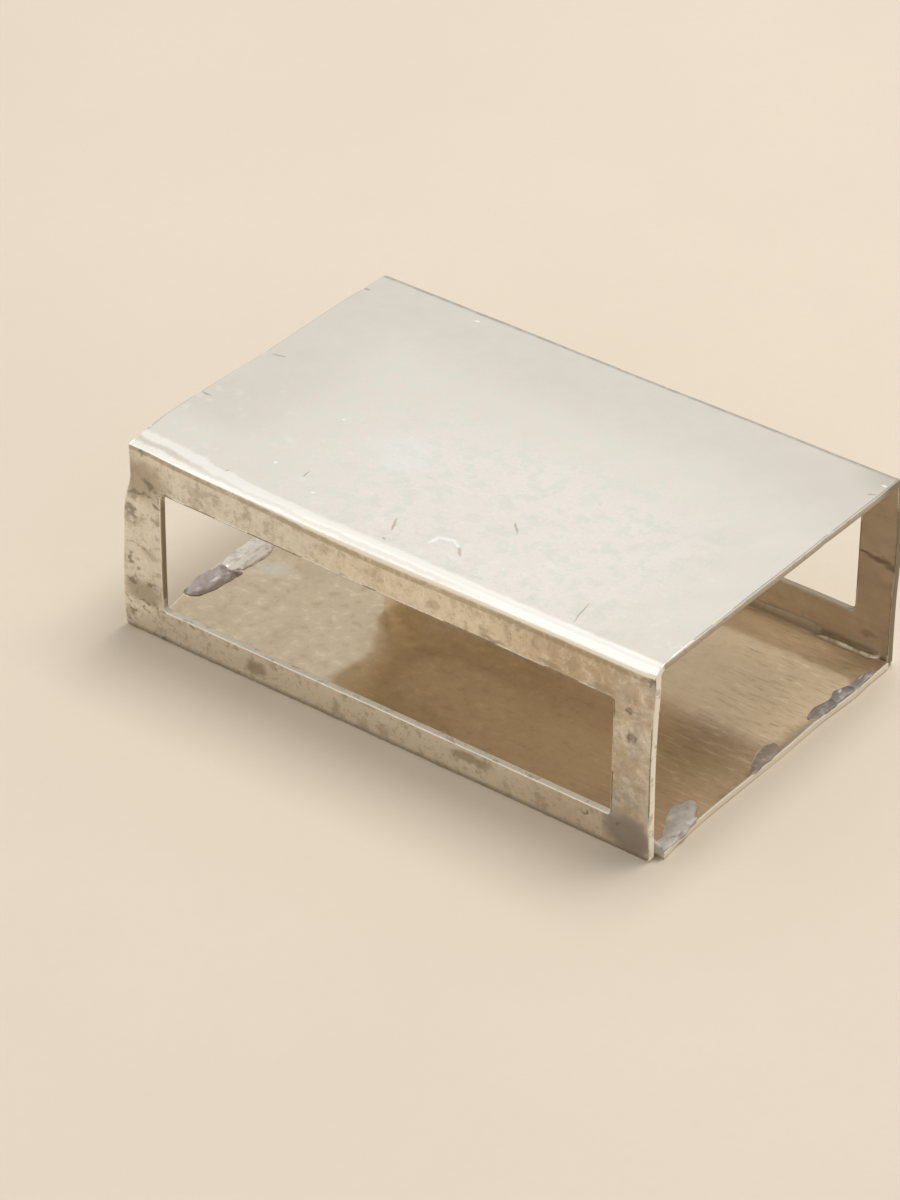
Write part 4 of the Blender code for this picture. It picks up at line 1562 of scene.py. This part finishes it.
@dataclass(frozen=True)
class PlateSilver(Finish):
    """Brown tarnished silver sheet, polished smooth, with fine streaks and flecks along it, painted shade
    browning its near right part, and painted shade along its right end.
    """

    left: Colour = (0.605, 0.495, 0.34)
    right: Colour = (0.73, 0.55, 0.34)
    pale: Colour = (0.95, 0.80, 0.58)
    dark: Colour = (0.38, 0.29, 0.18)
    # Brown, also laid as painted shade of a dark reflection.
    brown: Colour = (0.50, 0.37, 0.235)
    bluish: Colour = (0.68, 0.67, 0.62)
    red: Colour = (0.42, 0.28, 0.19)
    olive: Colour = (0.40, 0.32, 0.17)
    bare: Colour = (0.88, 0.82, 0.70)
    shade: Colour = (0.17, 0.14, 0.10)
    streaks: Pattern = Pattern(0.32, 2.0, 4.0, 0.6, (6.0, 1.0, 1.0))
    mottle: Pattern = Pattern(1.2, 3.0, 5.0, 0.65)
    cloud: Pattern = Pattern(4.0, 5.0)
    rubbed_start: Span = (24.0, 50.0)
    satin_start: Span = (17.0, 23.0)
    # Where the painted shade of the mirrored dark inside sets in.
    reflected_shade_start: Span = (46.0, 52.0)
    reflected_shade_across: Span = (20.5, 18.0)
    streaked_start: Span = (20.0, 26.0)
    loose_start: Span = (45.0, 51.0)
    red_start: Span = (54.5, 58.0)
    red_across: Span = (33.5, 36.5)
    end_start: Span = (57.3, 58.1)
    worn_edge: Span = (0.2, 0.03)
    cut_band: Place = (0.25, 0.8, 0.12)
    cut_edge: Span = (0.1, 0.02)
    relief_height: float = 0.002
    pale_mottle: Coat = Coat(mottle, (0.52, 0.68), 1.0, pale)
    dark_mottle: Coat = Coat(mottle, (0.48, 0.32), 1.0, dark)
    pale_streaks: Coat = Coat(streaks, (0.54, 0.72), 1.0, pale)
    dark_streaks: Coat = Coat(streaks, (0.46, 0.30), 1.0, dark)
    dark_cloud: Coat = Coat(cloud, (0.45, 0.65), 0.2, dark)
    dark_grain: Coat = Coat(Pattern(0.25, 6.0, 2.0), (0.60, 0.74), 0.25, dark)
    # Painted shade along the plate's right end.
    painted_end_shade: Coat = Coat(cloud, (0.4, 0.55), 0.5, shade, 0.35)
    bluish_patch: Spots = Spots((Mark((4.6, 14.3, 0.7), (3.0, 2.0, 1.0), (0.0, 0.0, 25.0)),),
                                0.5, bluish, 0.25, fade=(0.0, 0.9), drift=(1.2, 0.9))
    olive_patches: Spots = Spots((
        Mark((57.7, 22.6, 0.7), (1.2, 3.6, 0.8)), Mark((57.6, 19.0, 0.7), (1.0, 2.0, 0.8))),
        0.6, olive, 0.25, fade=(0.0, 0.8), drift=(1.0, 0.4))
    flecks: Spots = Spots((
        Mark((47.6, 31.0, 0.7), (1.5, 0.16, 0.5)), Mark((52.8, 29.1, 0.7), (0.7, 0.12, 0.5)),
        Mark((55.6, 22.5, 0.7), (0.8, 0.12, 0.5)), Mark((49.5, 33.0, 0.7), (1.0, 0.14, 0.5))),
        0.6, dark, 0.3, drift=(0.5, 0.12))

    def paint(self, board: Board) -> None:
        """Lay the finish on a board."""
        x, y, _ = board.axes()
        edge, depth = board.attribute("edge"), board.attribute("depth")
        rubbed = x.step(*self.rubbed_start)
        colour = board.blend(rubbed, self.left, self.right)
        roughness = 0.05 + 0.06 * x.step(*self.satin_start) + 0.04 * rubbed
        dressing = Dressing(board, colour, roughness, 0.85 - 0.47 * rubbed)
        # Painted shade: the near right part of the plate is laid browner where it mirrors the cover's dark
        # inside.
        dressing.lay(x.step(*self.reflected_shade_start) * y.step(*self.reflected_shade_across) * 0.5, self.brown)
        dressing.coat(self.pale_mottle, 0.3 - 0.2 * rubbed)
        dressing.coat(self.dark_mottle, 0.4 - 0.2 * rubbed)
        streaked = 0.15 * x.step(*self.streaked_start) + 0.4 * x.step(*self.loose_start)
        dressing.coat(self.pale_streaks, streaked)
        dressing.coat(self.dark_streaks, streaked)
        dressing.coat(self.dark_cloud, 1.0 - rubbed)
        dressing.coat(self.dark_grain)
        dressing.spot(self.bluish_patch)
        dressing.spot(self.olive_patches)
        dressing.lay(x.step(*self.red_start) * y.step(*self.red_across) * 0.8, self.red, 0.3)
        dressing.spot(self.flecks)
        # Painted shade: a dark cloud along the plate's right end, beside the lumps.
        dressing.coat(self.painted_end_shade, x.step(*self.end_start))
        dressing.lay(edge.step(*self.worn_edge) * (0.4 + 0.6 * board.noise(self.cloud)), self.bare, 0.25)
        cut = depth.band(*self.cut_band) * edge.step(*self.cut_edge)
        dressing.lay(cut * 0.8, self.bare, 0.6, 0.6)
        dressing.raise_by(board.noise(self.streaks) * rubbed * self.relief_height)
        dressing.finish()


@dataclass(frozen=True)
class SeamSolder(Finish):
    """Brown tarnished solder, with a painted highlight along the crest of its bead and painted shade on its
    flanks.
    """

    tone: Colour = (0.46, 0.36, 0.25)
    # Painted highlight tone of the bead's crest.
    bead: Colour = (1.0, 0.93, 0.71)
    dark: Colour = (0.28, 0.21, 0.13)
    patches: Coat = Coat(Pattern(1.5, 4.0), (0.5, 0.66), 0.5, dark)
    bead_mottle: Pattern = Pattern(1.1, 9.0)
    flank_shade: Span = (0.02, 0.3)
    highlight_crest: Span = (0.15, 0.9)
    highlight_start: Span = (50.5, 53.5)
    relief: Pattern = Pattern(0.6, 6.0)
    relief_height: float = 0.01

    def paint(self, board: Board) -> None:
        """Lay the finish on a board."""
        dressing = Dressing(board, self.tone, 0.4, 0.6)
        dressing.coat(self.patches)
        crest, x = board.attribute("bead"), board.axes()[0]
        # Painted shade on the bead's flanks.
        dressing.lay(crest.step(*self.flank_shade) * 0.35, self.dark)
        # Painted highlight: the bead's crest is laid bright, more so to the right.
        bright = board.noise(self.bead_mottle).step(0.38, 0.58) * 0.7 + 0.3
        bright = bright * (0.35 + 0.65 * x.step(*self.highlight_start))
        dressing.lay(crest.step(*self.highlight_crest) * bright, self.bead, 0.4, 0.2)
        dressing.raise_by(board.noise(self.relief) * self.relief_height)
        dressing.finish()


@dataclass(frozen=True)
class LumpSolder(Finish):
    """Dull solder in the tone that each lobe carries, with bright glints, dark creases, and a painted
    highlight that makes its high parts paler.
    """

    pale: Colour = (0.74, 0.71, 0.67)
    glint: Colour = (0.95, 0.92, 0.88)
    dark: Colour = (0.19, 0.155, 0.13)
    warm: Colour = (0.44, 0.35, 0.26)
    mottle: Pattern = Pattern(0.8, 8.0, 4.0, 0.6)
    pale_mottle: Coat = Coat(mottle, (0.52, 0.66), 1.0, pale, 0.36)
    dark_mottle: Coat = Coat(mottle, (0.48, 0.32), 0.35, dark, 0.45)
    warm_film: Coat = Coat(Pattern(1.4, 12.0), (0.54, 0.66), 0.35, warm)
    foot: Span = (0.25, 0.0)
    creases: Spots = Spots((
        Mark((2.2, 11.3, 1.0), (1.3, 0.35, 1.0), (0.0, 0.0, 20.0)), Mark((0.6, 6.5, 0.9), (0.6, 0.6, 1.0)),
        Mark((58.5, 3.9, 0.9), (0.5, 0.7, 0.8)), Mark((58.15, 16.7, 0.9), (0.35, 1.6, 0.8)),
        Mark((57.5, 28.6, 1.0), (0.8, 0.25, 0.8)), Mark((57.7, 31.3, 1.0), (0.8, 0.25, 0.8))),
        0.7, dark, 0.5, fade=(0.0, 0.7), drift=(0.8, 0.25))
    glints: Spots = Spots((
        Mark((2.0, 9.4, 1.2), (0.4, 1.0, 1.0), (0.0, 0.0, -10.0)), Mark((1.0, 12.0, 1.0), (0.7, 0.3, 1.0)),
        Mark((56.3, 5.7, 0.9), (0.5, 1.0, 0.8), (0.0, 0.0, -20.0)), Mark((57.4, 30.2, 1.0), (0.2, 0.5, 0.8)),
        Mark((58.0, 6.6, 0.9), (0.25, 0.9, 0.8)), Mark((57.6, 33.3, 1.0), (0.15, 0.7, 0.8))),
        0.8, glint, 0.25, fade=(0.1, 0.8), drift=(0.8, 0.25))
    relief: Pattern = Pattern(0.45, 7.0, 4.0)
    relief_height: float = 0.05

    def paint(self, board: Board) -> None:
        """Lay the finish on a board."""
        high = board.attribute("high")
        dressing = Dressing(board, board.attribute_colour("tone"), 0.45, 0.5)
        # Pale mottle, partly a painted highlight: it shows more on the high parts of each lump.
        dressing.coat(self.pale_mottle, 0.15 + 0.35 * high)
        dressing.coat(self.dark_mottle)
        dressing.coat(self.warm_film)
        dressing.lay(high.step(*self.foot) * 0.4, self.dark, 0.45)
        dressing.spot(self.creases)
        dressing.spot(self.glints)
        dressing.raise_by(board.noise(self.relief) * self.relief_height)
        dressing.finish()


@dataclass(frozen=True)
class PaleFloor(Finish):
    """The matt pale floor."""

    tone: Colour = (0.80, 0.695, 0.56)
    shade: Colour = (0.76, 0.66, 0.53)
    clouds: Coat = Coat(Pattern(40.0, 1.0), (0.3, 0.7), 0.5, shade)
    grain: Coat = Coat(Pattern(0.8, 2.0), (0.4, 0.7), 0.2, shade, 0.9)

    def paint(self, board: Board) -> None:
        """Lay the finish on a board."""
        dressing = Dressing(board, self.tone, 0.8, 0.0)
        dressing.coat(self.clouds)
        dressing.coat(self.grain)
        dressing.finish()


# The studio

@dataclass
class Viewpoint:
    """The photograph's viewpoint, as a direction round a point on the sleeve."""

    target: Place = (25.994, 13.607, 6.570)
    distance: float = 437.116
    azimuth: float = 37.136
    elevation: float = 34.266
    roll: float = 0.453
    lens: float = 145.65
    sensor: float = 36.0
    near_clip: float = 0.01

    def build(self) -> bpy.types.Object:
        """Make the camera and look through it."""
        turn = Matrix.Rotation(math.radians(self.azimuth), 3, "Z")
        turn = turn @ Matrix.Rotation(math.radians(90.0 - self.elevation), 3, "X")
        turn = turn @ Matrix.Rotation(math.radians(self.roll), 3, "Z")
        lens = bpy.data.cameras.new("viewpoint")
        lens.lens, lens.sensor_width, lens.clip_start = self.lens, self.sensor, self.near_clip
        camera = bpy.data.objects.new("viewpoint", lens)
        back = turn @ Vector((0.0, 0.0, 1.0))
        camera.location = Vector(BENCH.metres(np.array(self.target))) + back * self.distance * MM
        camera.rotation_euler = turn.to_euler()
        bpy.context.scene.collection.objects.link(camera)
        bpy.context.scene.camera = camera
        return camera


@dataclass(frozen=True)
class SoftBox:
    """A square soft box that faces the sleeve, placed from the sleeve's middle in millimetres."""

    name: str
    place: Place
    size: float
    glow: float

    def build(self) -> bpy.types.Object:
        """Hang the soft box.

        Its energy is its glow times pi times its area, so that its face is as bright as its glow.

        Returns:
            The light.
        """
        lamp = bpy.data.lights.new(self.name, "AREA")
        lamp.shape, lamp.size = "SQUARE", self.size * MM
        lamp.energy = self.glow * math.pi * (self.size * MM) ** 2
        item = bpy.data.objects.new(self.name, lamp)
        item.location = Vector(self.place) * MM
        item.rotation_euler = (-item.location).to_track_quat("-Z", "Y").to_euler()
        bpy.context.scene.collection.objects.link(item)
        return item


@dataclass
class Studio:
    """A pale floor under an even sky, with soft boxes overhead and to the left."""

    floor_rings: Sequence[float] = (20.0, 120.0, 500.0, 2500.0)
    floor_steps: int = 96
    sky: Colour = (1.0, 0.985, 0.965)
    seen_strength: float = 0.90
    sky_strength: float = 0.46
    boxes: Sequence[SoftBox] = (SoftBox("overhead", (40.0, 190.0, 650.0), 360.0, 6.8),
                                SoftBox("left_box", (-420.0, -80.0, 700.0), 420.0, 0.07),
                                SoftBox("front_left_box", (-450.0, -600.0, 380.0), 900.0, 0.22))

    def floor(self) -> bpy.types.Object:
        """Lay a round floor at the sleeve's feet.

        Returns:
            The floor.
        """
        turn = np.linspace(0.0, 2 * math.pi, self.floor_steps, endpoint=False)
        radius = np.array(self.floor_rings)[:, None]
        ring = np.stack([radius * np.cos(turn), radius * np.sin(turn), 0.0 * radius * turn], axis=-1)
        index = np.arange(ring.shape[0] * ring.shape[1]).reshape(ring.shape[:2])
        index = np.hstack([index, index[:, :1]])
        quads = grid_quads(index).reshape(-1, 4)[:, ::-1].tolist()
        mesh = bpy.data.meshes.new("floor")
        mesh.from_pydata(ring.reshape(-1, 3) * MM, [], quads + [index[0, :-1].tolist()])
        mesh.materials.append(PaleFloor("pale_floor").material())
        item = bpy.data.objects.new("floor", mesh)
        bpy.context.scene.collection.objects.link(item)
        return item

    def light(self) -> None:
        """Light the sleeve with an even sky and the soft boxes.

        Metal mirrors the sky as the camera sees it, and matt surfaces are lit by a weaker one.
        """
        world = bpy.data.worlds.new("sky")
        world.use_nodes = True
        board = Board(world.node_tree)
        path = board.node("ShaderNodeLightPath", {}, {})
        rays = ("Is Camera Ray", "Is Glossy Ray", "Is Transmission Ray")
        seen = [Reading(board, path.outputs[ray]) for ray in rays]
        strength = self.sky_strength + reduce(Reading.most, seen) * (self.seen_strength - self.sky_strength)
        background = board.node("ShaderNodeBackground", {}, {"Color": self.sky, "Strength": strength})
        board.node("ShaderNodeOutputWorld", {}, {0: background.outputs[0]})
        bpy.context.scene.world = world
        for box in self.boxes:
            box.build()

    def build(self) -> None:
        """Set the stage."""
        self.floor()
        self.light()
        Viewpoint().build()
        bpy.context.scene.view_settings.view_transform = "Standard"


LUMPS = (
    Lump("corner_lump", "corner_solder_lump", (
        Lobe(((57.15, 0.72), (57.2, 1.8), (57.25, 2.8), (57.1, 3.6), (57.9, 3.9), (58.5, 3.5), (58.55, 2.16),
              (58.45, 0.72)), 0.14, Tone.SOFT_GREY, 40, climb=2.4, climb_reach=0.35),
        Lobe(((57.0, 3.2), (56.5, 4.4), (55.8, 5.8), (55.5, 7.1), (55.75, 8.1), (56.4, 8.55), (57.2, 8.2),
              (57.9, 7.3), (58.3, 6.2), (58.45, 4.9), (58.5, 3.4), (57.8, 2.7)), 0.2, Tone.SOFT_GREY, 41,
             bumps=0.3, ragged=0.08, rim_tone=Tone.BROWN, rim_side=(0.8, 0.6)))),
    Lump("small_drop", "small_solder_drop", (
        # The small drop's pale rim on its left is a painted highlight.
        Lobe(((57.71, 15.67), (57.15, 16.55), (56.8, 17.61), (56.62, 18.74), (56.7, 19.64), (57.1, 20.1),
              (57.6, 20.0), (58.05, 19.53), (58.25, 18.21), (58.27, 16.91), (58.27, 15.68), (58.1, 15.1)),
             0.19, Tone.BROWN, 42, bumps=0.15, rim_tone=Tone.PALE, rim_side=(-1.0, -0.2)),)),
    Lump("right_edge_lump", "right_edge_solder_lump", (
        # The dark rims on the outer side of these lobes are a painted shadow.
        Lobe(((57.35, 25.0), (57.0, 25.9), (56.8, 26.8), (57.0, 27.6), (57.2, 28.3), (57.35, 28.8),
              (58.2, 28.8), (58.2, 26.8), (58.1, 25.4)), 0.16, Tone.DUSK, 43, rim_tone=Tone.SHADOW,
             rim_side=(1.0, 0.0)),
        Lobe(((57.35, 28.4), (57.1, 29.2), (56.88, 29.95), (57.1, 30.6), (57.3, 31.2), (57.5, 31.6),
              (58.2, 31.6), (58.25, 30.2), (58.22, 28.6)), 0.21, Tone.BLUE_GREY, 44, rim_tone=Tone.SHADOW,
             rim_side=(0.8, -0.6)),
        Lobe(((57.45, 31.0), (57.42, 32.2), (57.36, 33.1), (57.5, 33.9), (57.7, 34.5), (57.9, 35.0),
              (58.25, 34.4), (58.28, 33.2), (58.3, 31.2)), 0.17, Tone.LILAC, 45, rim_tone=Tone.SHADOW,
             rim_side=(1.0, 0.0)))),
    Lump("left_edge_lump", "left_edge_solder_lump", (
        Lobe(((0.75, 6.3), (1.3, 6.15), (1.85, 6.4), (2.25, 7.05), (2.5, 7.95), (2.7, 8.9), (2.87, 9.8),
              (2.9, 10.9), (2.98, 12.1), (2.3, 11.9), (1.6, 11.7), (0.9, 11.9), (0.35, 11.3), (0.2, 10.2),
              (0.2, 9.0), (0.3, 7.8), (0.45, 6.9)), 0.5, Tone.MAUVE, 47, bumps=0.35),
        Lobe(((0.35, 11.9), (0.95, 11.6), (1.7, 11.75), (2.35, 11.9), (2.85, 13.0), (2.95, 14.2),
              (2.88, 15.4), (2.75, 16.9), (2.2, 18.0), (1.2, 18.4), (0.4, 17.8), (0.1, 16.7), (0.0, 15.4),
              (0.05, 13.9), (0.15, 12.8)), 0.32, Tone.GREY, 48, bumps=0.15, grooves=0.10))),
)


def main() -> None:
    """Build the studio and every piece, and report each."""
    logging.basicConfig(level=logging.INFO, format="%(message)s")
    Studio().build()
    Cover().build()
    BasePlate().build()
    SolderSeam("near_seam", "near_seam_solder", False, 1.2, 55.6, gap=0.5, seed=31).build()
    SolderSeam("far_seam", "far_seam_solder", True, 1.2, 57.2, bead_start=50.0, seed=32).build()
    for lump in LUMPS:
        lump.build()


if __name__ == "__main__":
    main()
